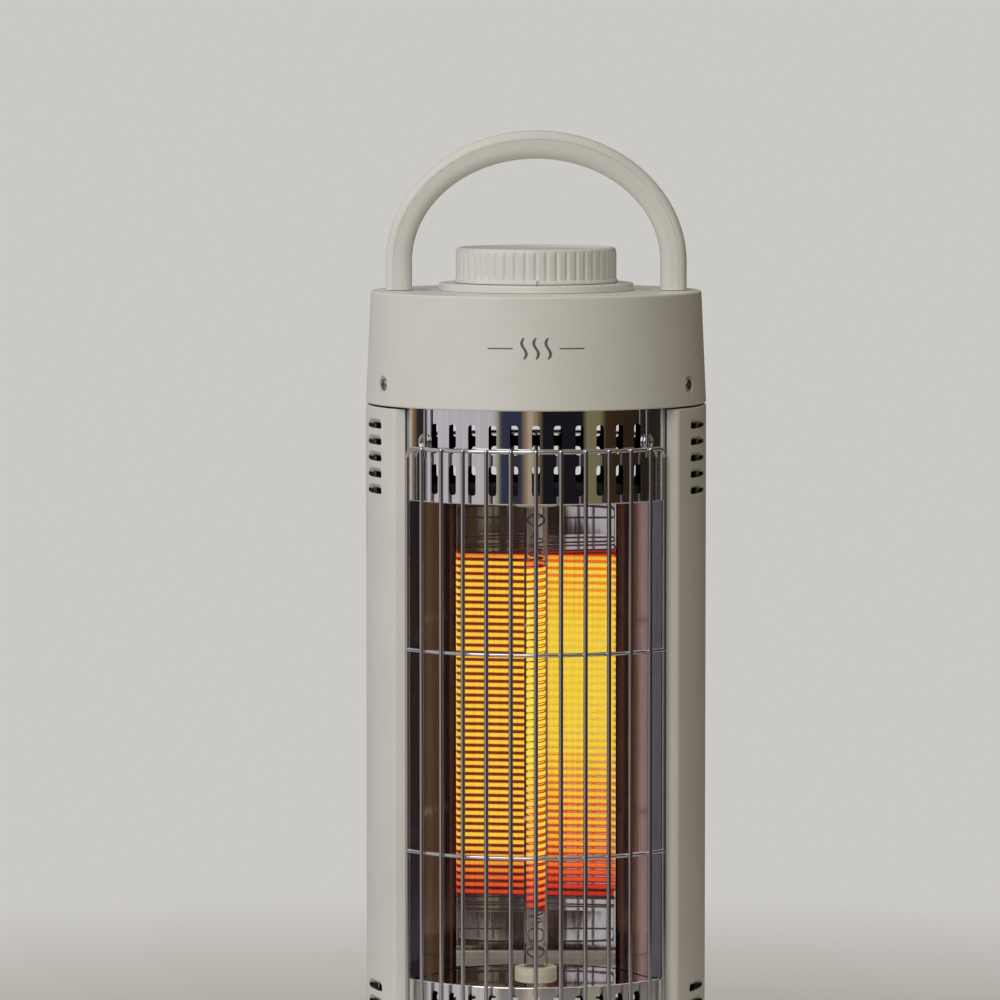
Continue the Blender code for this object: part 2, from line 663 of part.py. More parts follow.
def guards():
    reach = WIRE_STEPS_EACH_SIDE * WIRE_PITCH
    frame = guard_frame()
    for name, turn in (("front_guard", 0.0), ("rear_guard", math.pi)):
        guard = add_object(name, wire(frame, WIRE_RADIUS, 5, ring=True), CHROME, turn_z=turn)
        uprights = bmesh.new()
        for k in range(1 - WIRE_STEPS_EACH_SIDE, WIRE_STEPS_EACH_SIDE):
            ends = [around(GUARD_RADIUS, k * WIRE_PITCH, z)
                    for z in (GUARD_BOTTOM - 0.0006, GUARD_TOP + 0.0006)]
            add_wire(uprights, ends, WIRE_RADIUS, 6)
        rails = bmesh.new()
        for level in GUARD_RAILS:
            arc = [around(RAIL_RADIUS, reach * (2 * k / GUARD_ARC_STEPS - 1), level)
                   for k in range(GUARD_ARC_STEPS + 1)]
            add_wire(rails, arc, RAIL_WIRE, 5)
        hooks = bmesh.new()
        for side in (-1, 1):
            for start, end in ((GUARD_TOP, HEAD_BOTTOM - 2 * GAP), (GUARD_BOTTOM, DECK_TOP + 2 * GAP)):
                path = [around(RAIL_RADIUS - 0.0001, side * HOOK_ANGLE, z) for z in (start, end)]
                add_wire(hooks, path, HOOK_WIRE, 5)
        for part, builder in (("uprights", uprights), ("rails", rails), ("hooks", hooks)):
            join(guard, add_object(f"{name}_{part}", builder, turn_z=turn))


# ---------------------------------------------------------------- head

def head():
    """Round plastic cap over a sheet cup; four screws go through both."""
    radius, top = COLUMN_RADIUS, HEAD_TOP_RADIUS
    shell_profile = [
        (SHAFT_HOLE, HEAD_TOP), (top - HEAD_RIM, HEAD_TOP),
        (top - 0.3 * HEAD_RIM, HEAD_TOP - 0.3 * HEAD_RIM), (top, HEAD_TOP - HEAD_RIM),
        (radius, HEAD_BOTTOM + 0.0010), (radius - 0.0008, HEAD_BOTTOM),
        (radius - PLASTIC, HEAD_BOTTOM), (top - PLASTIC, DECK_LOW - 0.0015),
        (top - PLASTIC - 0.0020, DECK_LOW), (SHAFT_HOLE, DECK_LOW),
    ]
    shell = add_object("head_shell", turned(shell_profile), WARM_WHITE)
    rim, sheet, opening = HEAD_FLOOR_RADIUS, HEAD_FLOOR_SHEET, 0.0100
    floor_profile = [
        (opening, HEAD_FLOOR_LOW), (rim, HEAD_FLOOR_LOW), (rim, HEAD_FLOOR_TOP),
        (rim - sheet, HEAD_FLOOR_TOP), (rim - sheet, HEAD_FLOOR_LOW + sheet),
        (opening, HEAD_FLOOR_LOW + sheet),
    ]
    floor = add_object("head_floor", turned(floor_profile, 24), STEEL)
    for k, angle in enumerate(HEAD_SCREW_ANGLES):
        outward = Vector(around(1.0, angle))
        seat = around(HEAD_SCREW_SEAT, angle, HEAD_SCREW_HEIGHT)
        recess = rod_along(outward, Vector(seat) + outward * 0.0050, 0.00465, 0.0100)
        hole = rod_along(outward, seat, 0.0019, 0.0100, 8)
        cut(shell, add_object(f"head_recess_{k + 1}", recess))
        hole_cutter = add_object(f"head_screw_hole_{k + 1}", hole)
        cut(shell, hole_cutter)
        cut(floor, hole_cutter)
        screw = turned(screw_profile(0.0030, 0.0014, 0.0015, 0.0080), SCREW_SIDES)
        aim = Vector((0, 0, 1)).rotation_difference(outward).to_matrix()
        bmesh.ops.rotate(screw, verts=screw.verts, cent=(0, 0, 0), matrix=aim)
        add_object(f"head_screw_{k + 1}", screw, STEEL, Vector(seat) + outward * GAP)
    for name, lead_angle in LEADS.items():
        centre = around(LEAD_RADIUS, lead_angle, HEAD_FLOOR_LOW)
        notch = rod_along((0, 0, 1), centre, LEAD_HOLE, 0.0600)
        cut(floor, add_object("floor_notch_" + name, notch))
    cutout = [
        (0.0, 0.0), (0.0080, 0.0), (0.0080, 0.0050), (0.0055, 0.0050), (0.0055, 0.0090), (0.0, 0.0090),
    ]
    seat = (-0.0350, 0.0300, HEAD_FLOOR_LOW + sheet + GAP)
    add_object("thermal_cutout", turned(cutout, 16), CERAMIC, seat)
    return shell


def switch_and_strap(shell):
    """Strap under the deck that carries the rotary switch; two screws hold it from above."""
    half_length, half_width, thickness = STRAP_SIZE
    strap_top = DECK_LOW - GAP
    low, high = (-half_length, -half_width, strap_top - thickness), (half_length, half_width, strap_top)
    strap = add_object("switch_strap", box(low, high), STEEL)
    shaft_clear = rod_along((0, 0, 1), (0, 0, strap_top), SHAFT_HOLE, 0.02)
    cut(strap, add_object("strap_shaft_hole", shaft_clear))
    for side, name in ((-1, "left"), (1, "right")):
        place = (side * TOP_SCREW_X, 0.0, HEAD_TOP)
        recess = add_object(name + "_top_recess", rod_along((0, 0, 1), place, 0.0037, 0.0024))
        hole = add_object(name + "_top_hole", rod_along((0, 0, 1), place, 0.0018, 0.0300, 8))
        cut(shell, recess, hole)
        cut(strap, hole)
        screw = turned(screw_profile(0.0030, 0.0010, 0.0014, 0.0090), SCREW_SIDES)
        add_object(name + "_top_screw", screw, STEEL, (place[0], 0.0, HEAD_TOP - 0.0012 + GAP))
        bolt_place = (side * HANDLE_BOLT_X, 0.0, DECK_LOW)
        bolt_hole = rod_along((0, 0, 1), bolt_place, HANDLE_BOLT_HOLE, 0.0200)
        cut(shell, add_object(name + "_bolt_hole", bolt_hole))
    top = strap_top - thickness - GAP
    low = top - SWITCH_HEIGHT
    body = box((-SWITCH_HALF, -SWITCH_HALF, low), (SWITCH_HALF, SWITCH_HALF, top))
    switch = add_object("rotary_switch", body, DARK_PLASTIC)
    bore = rod_along((0, 0, 1), (0.0, 0.0, top), SHAFT_RADIUS + 0.0004, 0.0200)
    cut(switch, add_object("switch_bore", bore))
    return top


def control(switch_top):
    """Flange ring, ribbed dial with its pointer, and the shaft down into the switch."""
    flange_seat = HEAD_TOP + GAP
    edge = 0.0009
    flange = [
        (SHAFT_HOLE, 0.0), (FLANGE_RADIUS, 0.0), (FLANGE_RADIUS, FLANGE_HEIGHT - edge),
        (FLANGE_RADIUS - edge, FLANGE_HEIGHT), (SHAFT_HOLE, FLANGE_HEIGHT),
    ]
    add_object("dial_flange", turned(flange), WARM_WHITE, (0.0, 0.0, flange_seat))

    dial_seat = flange_seat + FLANGE_HEIGHT + GAP
    count = 2 * DIAL_RIBS
    rim, groove = DIAL_RADIUS, DIAL_RADIUS - DIAL_RIB_DEPTH
    rows = (
        (0.0427, 0.0427, 0.0), (rim, groove, 0.0020), (rim, groove, DIAL_HEIGHT - 0.0022),
        (0.0398, 0.0398, DIAL_HEIGHT),
    )
    sections = []
    for crest, valley, height in rows:
        radii = [crest if k % 2 else valley for k in range(count)]
        sections.append([around(r, math.tau * k / count, height) for k, r in enumerate(radii)])
    place = (0.0, 0.0, dial_seat)
    dial = add_object("dial", loft(sections), WARM_WHITE, place)
    below = -0.0010
    bore = turned([(0.0, below), (0.0033, below), (0.0033, 0.0132), (0.0, 0.0132)], 16)
    cavity = turned([(0.0060, below), (0.0400, below), (0.0390, 0.0145), (0.0060, 0.0145)], 24)
    cut(dial, add_object("dial_cavity", cavity, None, place), add_object("dial_bore", bore, None, place))
    nub = box((-0.0012, -0.0440, 0.0004), (0.0012, -0.0415, 0.0026))
    join(dial, add_object("dial_pointer", nub, None, place))
    low, high = switch_top - 0.0080, dial_seat + 0.0125
    shaft = [(0.0, low), (SHAFT_RADIUS, low), (SHAFT_RADIUS, high), (0.0, high)]
    add_object("dial_shaft", turned(shaft, 16), STEEL)


def handle_stations():
    """Pairs of points on the outer and inner curves, from the right foot over the top to the left."""
    foot = HEAD_TOP + GAP
    stations = [(Vector((HANDLE_OUTER[0], 0.0, foot)), Vector((HANDLE_INNER[0], 0.0, foot)))]
    for k in range(HANDLE_STEPS + 1):
        angle = math.pi * k / HANDLE_STEPS
        stations.append(tuple(
            Vector((half * math.cos(angle), 0.0, HANDLE_CENTRE + rise * math.sin(angle)))
            for half, rise in (HANDLE_OUTER, HANDLE_INNER)
        ))
    stations.append((Vector((-HANDLE_OUTER[0], 0.0, foot)), Vector((-HANDLE_INNER[0], 0.0, foot))))
    return stations


def handle():
    """Arch of two shells, split along its length: a thin outer cap and a deeper inner channel."""
    half, soft, split = HANDLE_DEPTH / 2, HANDLE_SOFT, HANDLE_CAP + GAP
    near = 0.4 * soft
    # Points of each section: distance in from the outer curve, offset along Y. Full depth is 1.
    cap = [
        (HANDLE_CAP, -half + 0.0004), (near, -half + near), (0.0, -half + soft),
        (0.0, half - soft), (near, half - near), (HANDLE_CAP, half - 0.0004),
    ]
    deep = 1.0
    channel = [(split, -half), (deep, -half + 0.0030), (deep, half - 0.0030), (split, half)]
    shells = {}
    for name, section in (("handle_outer", cap), ("handle_inner", channel)):
        sections = []
        for outer, inner in handle_stations():
            inwards = inner - outer
            shares = [depth if depth == deep else depth / inwards.length for depth, offset in section]
            sections.append([outer + inwards * share + Vector((0.0, offset, 0.0))
                             for share, (depth, offset) in zip(shares, section)])
        shells[name] = add_object(name, loft(sections), WARM_WHITE)
    for side, name in ((-1, "left"), (1, "right")):
        place = (side * HANDLE_BOLT_X, 0.0, HEAD_TOP + GAP)
        bore = rod_along((0, 0, 1), place, HANDLE_BOLT_HOLE, 0.0360)
        cut(shells["handle_inner"], add_object(name + "_leg_bore", bore))
        bolt = turned(screw_profile(0.0045, 0.0030, 0.0024, 0.0180), SCREW_SIDES)
        bmesh.ops.rotate(
            bolt, verts=bolt.verts, cent=(0, 0, 0), matrix=Matrix.Rotation(math.pi, 3, "X")
        )
        add_object(name + "_handle_bolt", bolt, STEEL, (place[0], 0.0, DECK_LOW - GAP))


def leads():
    """Sleeved wires from the terminal block up the right column to the rotary switch."""
    for number, (name, angle) in enumerate(LEADS.items()):
        spread = 0.0050 * number
        column = Vector(around(LEAD_RADIUS, angle))
        route = [
            Vector((-0.0190, -0.0060 + spread, 0.0180)), Vector((0.0, 0.0250 + spread, 0.0500)),
            column * 0.80 + Vector((0.0, 0.0, 0.0430)), column + Vector((0.0, 0.0, 0.0570)),
            column + Vector((0.0, 0.0, 0.0680)), column + Vector((0.0, 0.0, 0.3950)),
            column + Vector((0.0, 0.0, 0.4070)), column * 0.92 + Vector((0.0, 0.0, 0.4240)),
            column * 0.55 + Vector((0.0, 0.0, 0.4400)),
            Vector((0.0170, 0.0020 + spread, 0.4480)),
        ]
        curve = bpy.data.curves.new(name, "CURVE")
        curve.dimensions = "3D"
        curve.bevel_depth = LEAD_THICKNESS
        curve.bevel_resolution = 1
        curve.use_fill_caps = True
        curve.resolution_u = 3
        spline = curve.splines.new("BEZIER")
        spline.bezier_points.add(len(route) - 1)
        for knot, point in zip(spline.bezier_points, route):
            knot.co = point
            knot.handle_left_type = knot.handle_right_type = "AUTO"
        item = bpy.data.objects.new(name, curve)
        bpy.context.scene.collection.objects.link(item)
        material = bpy.data.materials.new(name + "_finish")
        material.use_nodes = True
        shader = material.node_tree.nodes["Principled BSDF"]
        shader.inputs["Base Color"].default_value = (*SLEEVE[0], 1.0)
        curve.materials.append(material)


clear_scene()
base_cover()
base_floor()
cord_gland()
tip_over_switch()
terminal_block()
slotted_pan("lower_pan", LOWER_DISC, DECK_TOP + GAP)
slotted_pan("upper_pan", UPPER_DISC, HEAD_BOTTOM - GAP)
columns()
reflectors()
lamps()
guards()
control(switch_and_strap(head()))
handle()
leads()
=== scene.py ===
"""Looks of the two-sided radiant tower heater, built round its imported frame. Metres, +Z up, front -Y."""

import json
import math

import bmesh
import bpy
from mathutils import Matrix, Vector

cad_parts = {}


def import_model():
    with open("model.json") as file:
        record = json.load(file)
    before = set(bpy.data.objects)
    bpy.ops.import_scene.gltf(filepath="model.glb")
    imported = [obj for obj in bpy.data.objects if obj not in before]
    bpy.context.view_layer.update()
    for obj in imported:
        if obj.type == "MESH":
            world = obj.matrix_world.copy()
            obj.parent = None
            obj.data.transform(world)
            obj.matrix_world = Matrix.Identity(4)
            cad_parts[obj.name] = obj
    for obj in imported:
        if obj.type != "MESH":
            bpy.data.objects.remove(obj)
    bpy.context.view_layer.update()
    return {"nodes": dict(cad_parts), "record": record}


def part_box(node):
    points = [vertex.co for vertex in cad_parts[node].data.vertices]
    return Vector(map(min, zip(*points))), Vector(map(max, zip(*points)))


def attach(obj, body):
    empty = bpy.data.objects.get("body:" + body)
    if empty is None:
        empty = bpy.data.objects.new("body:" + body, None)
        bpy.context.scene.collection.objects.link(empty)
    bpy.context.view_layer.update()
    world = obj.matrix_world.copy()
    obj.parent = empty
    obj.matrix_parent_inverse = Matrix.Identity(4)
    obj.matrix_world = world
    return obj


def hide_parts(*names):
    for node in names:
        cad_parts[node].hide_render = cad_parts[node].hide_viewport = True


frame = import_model()

# Where the CAD puts the main levels and radii
HEAD_LOW, HEAD_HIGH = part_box("head_shell")
HEAD_BOTTOM, HEAD_TOP, TOWER_RADIUS = HEAD_LOW.z, HEAD_HIGH.z, HEAD_HIGH.x
COLUMN_BOTTOM, COLUMN_TOP = (corner.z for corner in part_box("right_column"))
LOWER_DISC, UPPER_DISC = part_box("lower_pan")[1].z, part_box("upper_pan")[0].z
BAND_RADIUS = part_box("lower_pan")[1].x
SKIRT_BOTTOM, DECK_TOP = (corner.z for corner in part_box("base_cover"))
BASE_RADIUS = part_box("base_cover")[1].x
FLANGE_LOW, FLANGE_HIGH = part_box("dial_flange")
DIAL_SEAT, DIAL_TOP = (corner.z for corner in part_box("dial"))
HANDLE_LOW, HANDLE_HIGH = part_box("handle_outer")
CAP_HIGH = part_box("front_lower_cap")[1]
TUBE_LOW, TUBE_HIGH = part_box("front_quartz_tube")
COIL_LOW, COIL_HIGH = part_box("front_carbon_coil")
GLAND_HEIGHT = sum(corner.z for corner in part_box("cord_gland")) / 2

SEGMENTS = 192               # round the large turned pieces
FILLET_STEPS = 5
GAP = 0.0003
SUPPORT = 0.0003             # how far the extra points stand from the end of an arc
DOME_ANGLES = (0.5, 1.0, 1.35)       # the rings of a wire's round end, in radians

# Walls and sheets
PLASTIC = 0.0024
COLUMN_WALL = 0.0022
SHEET = 0.0008
REFLECTOR_SHEET = 0.0006

# Head
HEAD_TOP_RADIUS = 0.0864
HEAD_RIM = 0.0013            # radius of the rim round the deck
SHAFT_HOLE = 0.0045          # radius of the hole for the dial's shaft
HEAD_SCREW_HEIGHT = 0.4181
HEAD_SCREW_SEAT = 0.0870
HEAD_SCREW_POCKET = 0.00465
HEAD_SCREW_ANGLES = [math.radians(angle) for angle in (-63.5, 63.5, 116.5, -116.5)]
TOP_SCREW_X = 0.0580
TOP_SCREW_POCKET = 0.0037
MARK_HEIGHT = 0.4390         # middle of the printed mark on the front of the head

# Columns, measured like the CAD ones
COLUMN_CORNER = 0.0030
LIP_FACE = 0.0503
LIP_EDGE = 0.0674
LIP_THICKNESS = 0.0018
LOUVRE_COUNT = 5
LOUVRE_PITCH = 0.00848
LOUVRE_HEIGHT = 0.0060
LOUVRE_SLIT = 0.0019
LOUVRE_POINT = 0.0008        # how far the slit's ends close in
LOUVRE_END_MARGIN = 0.0050
LOUVRE_ANGLES = (math.radians(11.5), math.radians(26.0))

# Slotted bands
SLOT_COLUMNS = 11
SLOT_PITCH = math.radians(7.8)
SLOT_WIDTH = 0.0042
SLOT_CORNER = 0.0016
SLOT_ROWS = ((0.0046, 0.0200), (0.0256, 0.0408))
DISC_CORNER = 0.0008
BAND_REACH = math.radians(58.0)      # the wall is bright this far each side, and takes a near-black painted shade behind the columns

# Lamps and reflectors
LAMP_OFFSET = 0.0330
TROUGH_VERTEX = 0.0024
TROUGH_FOCUS = 0.0305
TROUGH_HALF_WIDTH = 0.0420
WING_POINTS = ((0.0580, 0.0460), (0.0650, 0.0500))
TUBE_WALL = 0.0008
CAP_SOCKET = 0.0022
COIL_RADIUS = 0.0050
COIL_PITCH = 0.0038
RIBBON_HEIGHT = 0.0028       # with its glow; the bare ribbon is narrower
RIBBON_THICKNESS = 0.0006
LEAD_WIRE = 0.0005

# Guards
WIRE_RADIUS = 0.00115
WIRE_PITCH = math.radians(8.5)
WIRE_STEPS = 6
GUARD_RADIUS = 0.0870
RAIL_RADIUS = GUARD_RADIUS - 0.0017
GUARD_TOP, GUARD_BOTTOM = 0.3860, 0.0800
GUARD_RAILS = (0.1773, 0.2819)
GUARD_CORNER = 0.0050

# Control
DIAL_RADIUS = 0.0420
DIAL_RIBS = 48
DIAL_RIB_DEPTH = 0.0009
FLANGE_MARK_RADIUS = 0.0472

# Handle
HANDLE_CENTRE = 0.4801
HANDLE_INNER = (0.0650, 0.0540)
HANDLE_CAP = 0.0040
HANDLE_STEPS = 96

GLAND_RIBS = 5


# ---------------------------------------------------------------- materials

def nodes_of(name):
    """A new material with its node tree and its shader."""
    material = bpy.data.materials.new(name)
    material.use_nodes = True
    tree = material.node_tree
    return material, tree, tree.nodes["Principled BSDF"]


def fill(tree, node, inputs):
    """Set or link a node's sockets by name."""
    for key, value in inputs.items():
        if isinstance(value, bpy.types.NodeSocket):
            tree.links.new(value, node.inputs[key])
        else:
            node.inputs[key].default_value = value


def add_node(tree, kind, inputs=None, **settings):
    """A node with its settings, and its sockets set or linked by name."""
    node = tree.nodes.new(kind)
    for key, value in settings.items():
        setattr(node, key, value)
    fill(tree, node, inputs or {})
    return node


def coordinates(tree, kind="Object"):
    return add_node(tree, "ShaderNodeTexCoord").outputs[kind]


def stretched(tree, stretch):
    """The object's own coordinates in metres, stretched along each axis."""
    inputs = {"Vector": coordinates(tree), "Scale": stretch}
    return add_node(tree, "ShaderNodeMapping", inputs).outputs["Vector"]


def noise(tree, scale, detail=3.0, roughness=0.55, stretch=(1.0, 1.0, 1.0)):
    inputs = {"Vector": stretched(tree, stretch), "Scale": scale, "Detail": detail, "Roughness": roughness}
    return add_node(tree, "ShaderNodeTexNoise", inputs).outputs["Fac"]


def worked(tree, operation, first, second=0.0):
    return add_node(tree, "ShaderNodeMath", {0: first, 1: second}, operation=operation).outputs["Value"]


def ranged(tree, value, low, high, from_low=0.3, from_high=0.7):
    inputs = {"Value": value, "From Min": from_low, "From Max": from_high, "To Min": low, "To Max": high}
    return add_node(tree, "ShaderNodeMapRange", inputs).outputs["Result"]


def blended(tree, share, first, second):
    """A colour between two, each of them a plain colour or another node's."""
    first, second = (end if isinstance(end, bpy.types.NodeSocket) else (*end, 1.0) for end in (first, second))
    inputs = {"Factor": share, "A": first, "B": second}
    return add_node(tree, "ShaderNodeMix", inputs, data_type="RGBA").outputs["Result"]


def between(tree, share, first, second):
    """A number between two."""
    inputs = {"Factor": share, "A": first, "B": second}
    return add_node(tree, "ShaderNodeMix", inputs).outputs["Result"]


def length_of(tree, vector):
    """A vector's length."""
    return add_node(tree, "ShaderNodeVectorMath", {0: vector}, operation="LENGTH").outputs["Value"]


def coloured(tree, value, stops):
    """A colour ramp over value, from (position, colour) stops."""
    ramp = add_node(tree, "ShaderNodeValToRGB", {"Fac": value})
    bar = ramp.color_ramp
    while len(bar.elements) < len(stops):
        bar.elements.new(0.5)
    for element, (position, colour) in zip(bar.elements, stops):
        element.position = position
        element.color = (*colour, 1.0)
    return ramp.outputs["Color"]


def bumped(tree, shader, height, distance, strength=1.0):
    bump = add_node(tree, "ShaderNodeBump", {"Height": height, "Distance": distance, "Strength": strength})
    tree.links.new(bump.outputs["Normal"], shader.inputs["Normal"])


def shaded(colour, factor):
    return tuple(min(1.0, value * factor) for value in colour)


def plastic(name, colour, roughness, grain=0.00002, spread=0.03):
    """Moulded plastic: slow colour drift, a spark-eroded grain and uneven gloss."""
    material, tree, shader = nodes_of(name)
    drift = ranged(tree, noise(tree, 28.0, 4.0), 0.0, 1.0)
    fill(tree, shader, {
        "Base Color": blended(tree, drift, shaded(colour, 1.0 - spread), shaded(colour, 1.0 + spread)),
        "Roughness": ranged(tree, noise(tree, 160.0, 3.0), roughness - 0.04, roughness + 0.05),
    })
    bumped(tree, shader, noise(tree, 2600.0, 2.0), grain, 0.6)
    return material


def metal(name, colour, roughness, spread=0.04, stretch=(1.0, 1.0, 1.0), scale=400.0, wave=0.0):
    """Metal: gloss that varies along the grain, and waves or drawing lines if wanted."""
    material, tree, shader = nodes_of(name)
    grain = noise(tree, scale, 4.0, 0.6, stretch)
    darker = shaded(colour, 1.0 - 2.0 * spread)
    fill(tree, shader, {
        "Base Color": blended(tree, ranged(tree, grain, 0.0, 1.0), darker, colour),
        "Roughness": ranged(tree, grain, max(0.01, roughness - spread), roughness + spread),
        "Metallic": 1.0,
    })
    if wave:
        bumped(tree, shader, grain, wave)
    return material


def mirror_sheet(name, streaks, wave):
    """Bright rolled aluminium: nearly a mirror, with slow waves across and fine streaks along Z."""
    material, tree, shader = nodes_of(name)
    fine = noise(tree, 900.0, 3.0, 0.6, (1.0, 1.0, 0.012))
    slow = noise(tree, 70.0, 2.0, 0.5, (1.0, 1.0, 0.10))
    fill(tree, shader, {
        "Base Color": blended(tree, ranged(tree, fine, 0.0, 1.0), (0.78, 0.79, 0.82), (0.92, 0.92, 0.94)),
        "Roughness": ranged(tree, fine, 0.02, 0.02 + streaks),
        "Metallic": 1.0,
    })
    bumped(tree, shader, worked(tree, "ADD", slow, ranged(tree, fine, 0.0, 0.10, 0.0, 1.0)), wave)
    return material


def quartz():
    material, tree, shader = nodes_of("clear_quartz")
    fill(tree, shader, {
        "Base Color": (0.98, 0.98, 0.98, 1.0),
        "Roughness": ranged(tree, noise(tree, 220.0), 0.0, 0.03),
        "IOR": 1.45,
        "Transmission Weight": 1.0,
    })
    return material


def glowing_carbon():
    """Ribbon coil: hottest along the ribbon's middle, duller at the coil's ends.

    On two of the coil's four quarters the ribbon's edges and its inside are dark red, so that the turns
    stand apart there; on the other two they glow almost evenly.
    """
    material, tree, shader = nodes_of("glowing_carbon")
    place = coordinates(tree)
    x, y, z = add_node(tree, "ShaderNodeSeparateXYZ", {"Vector": place}).outputs
    low, high = COIL_LOW.z, COIL_HIGH.z
    length = high - low

    # How far a point is from the middle of the ribbon's height, as a share of the pitch
    turn = ranged(tree, worked(tree, "ARCTAN2", y, x), -0.5, 0.5, -math.pi, math.pi)
    rise = ranged(tree, z, 0.0, length / COIL_PITCH, low, high)
    phase = worked(tree, "FRACT", worked(tree, "SUBTRACT", rise, turn))
    half = RIBBON_HEIGHT / COIL_PITCH / 2
    off_middle = worked(tree, "ABSOLUTE", worked(tree, "SUBTRACT", phase, half))

    # The even quarters, which stay even only near the hottest stretch
    spread = 0.12 * COIL_RADIUS ** 2
    quarter = ranged(tree, worked(tree, "MULTIPLY", x, y), 0.0, 1.0, -spread, spread)
    off_hottest = worked(tree, "ABSOLUTE", worked(tree, "SUBTRACT", z, low + 0.62 * length))
    near_hottest = ranged(tree, off_hottest, 1.0, 0.5, 0.14 * length, 0.36 * length)
    even = worked(tree, "MULTIPLY", quarter, near_hottest)
    near_edge = ranged(tree, off_middle, 0.0, 1.0, half * 0.55, half * 0.95)
    across = between(tree, near_edge, 1.0, ranged(tree, even, 0.18, 0.90, 0.0, 1.0))

    # The ribbon's inside, and the cooler ends
    sideways = add_node(tree, "ShaderNodeVectorMath", {0: place, 1: (1.0, 1.0, 0.0)}, operation="MULTIPLY")
    radius = length_of(tree, sideways.outputs["Vector"])
    outside = ranged(tree, radius, 0.0, 1.0, COIL_RADIUS - 0.0004, COIL_RADIUS - 0.0002)
    faced = between(tree, outside, ranged(tree, even, 0.24, 0.92, 0.0, 1.0), across)
    drop = between(tree, quarter, 1.0, ranged(tree, z, 0.84, 1.0, low + 0.020, low + 0.080))
    lower_end = worked(tree, "MULTIPLY", drop, ranged(tree, z, 0.42, 1.0, low, low + 0.030))
    upper_end = ranged(tree, z, 1.0, 0.45, high - 0.006, high)
    ends = worked(tree, "MULTIPLY", lower_end, upper_end)
    weave = ranged(tree, noise(tree, 1500.0, 2.0), 0.94, 1.04)
    level = worked(tree, "MULTIPLY", worked(tree, "MULTIPLY", faced, ends), weave)
    fill(tree, shader, {
        "Emission Color": coloured(tree, level, (
            (0.0, (0.02, 0.002, 0.001)), (0.25, (0.17, 0.008, 0.005)), (0.45, (0.75, 0.035, 0.012)),
            (0.62, (0.90, 0.17, 0.02)), (0.80, (0.97, 0.43, 0.035)), (1.0, (1.0, 0.74, 0.05)),
        )),
        "Emission Strength": 1.1,
        "Base Color": (0.02, 0.02, 0.02, 1.0),
        "Roughness": 0.75,
    })
    return material


def speckled(name, colour, roughness, speckle=0.12, grain=0.00006, scale=900.0):
    """Matt mineral or rubber surface with fine speckle."""
    material, tree, shader = nodes_of(name)
    spots = noise(tree, scale, 5.0, 0.7)
    fill(tree, shader, {
        "Base Color": blended(tree, ranged(tree, spots, 0.0, 1.0), shaded(colour, 1.0 - speckle), colour),
        "Roughness": ranged(tree, spots, roughness - 0.08, roughness + 0.06),
    })
    bumped(tree, shader, spots, grain)
    return material


def braided():
    """Glass-fibre sleeving: two crossing sets of fine threads."""
    material, tree, shader = nodes_of("braided_sleeving")
    threads = []
    for lean in (1.0, -1.0):
        inputs = {"Vector": stretched(tree, (1.0, 1.0, lean)), "Scale": 900.0, "Distortion": 1.0}
        threads.append(add_node(tree, "ShaderNodeTexWave", inputs, bands_direction="DIAGONAL").outputs["Fac"])
    woven = worked(tree, "MULTIPLY", *threads)
    cover = ranged(tree, woven, 0.0, 1.0, 0.0, 0.6)
    fill(tree, shader, {
        "Base Color": blended(tree, cover, (0.55, 0.54, 0.49), (0.82, 0.81, 0.76)),
        "Roughness": 0.7,
    })
    bumped(tree, shader, woven, 0.0001)
    return material


looks = {
    "shell": plastic("shell_plastic", (0.79, 0.775, 0.735), 0.42),
    "control": plastic("control_plastic", (0.79, 0.78, 0.745), 0.34, grain=0.00001),
    "handle": plastic("handle_plastic", (0.79, 0.775, 0.73), 0.36),
    "mirror": mirror_sheet("mirror_aluminium", 0.035, 0.00003),
    "guard": metal("bright_plated_wire", (0.62, 0.61, 0.64), 0.035, spread=0.015, scale=700.0),
    "quartz": quartz(),
    "carbon": glowing_carbon(),
    "ceramic": speckled("cream_steatite", (0.80, 0.73, 0.58), 0.55),
    "steel": metal("plated_steel", (0.58, 0.58, 0.58), 0.34, stretch=(1.0, 0.06, 1.0), wave=0.00001),
    "fastener": metal("zinc_plate", (0.42, 0.42, 0.42), 0.32, scale=900.0),
    "ballast": speckled("cast_iron", (0.10, 0.10, 0.105), 0.7, 0.4, 0.0002, 500.0),
    "rubber": speckled("black_rubber", (0.028, 0.028, 0.028), 0.78),
    "dark_plastic": plastic("black_nylon", (0.045, 0.045, 0.047), 0.48),
    "sleeving": braided(),
}
print_ink = plastic("grey_print", (0.13, 0.125, 0.12), 0.5, spread=0.05)
# Near-black metal: painted shade for the pans' enclosed insides and for the band behind the columns
painted_pan_shade = metal("painted_shade_metal", (0.07, 0.065, 0.06), 0.55, scale=300.0)
# Reddish aluminium for the trough's wings: the red is the coil's glow, painted in
wing_painted_glow = metal(
    "aluminium_painted_coil_glow", (0.68, 0.47, 0.42), 0.10, 0.06, (1.0, 1.0, 0.01), 1400.0, 0.00002,
)
# Dark bluish metal for the wings' outer folds: painted dark reflection beside the column lips
fold_painted_reflection = metal("folded_edge_painted_reflection", (0.24, 0.24, 0.28), 0.16, 0.06, (1.0, 1.0, 0.02), 900.0)
hot_wire = metal("heat_darkened_wire", (0.16, 0.09, 0.08), 0.30, scale=1200.0)


# ---------------------------------------------------------------- mesh tools

def around(radius, angle, height=0.0):
    """A point at an angle from the front, positive towards +X."""
    return Vector((radius * math.sin(angle), -radius * math.cos(angle), height))


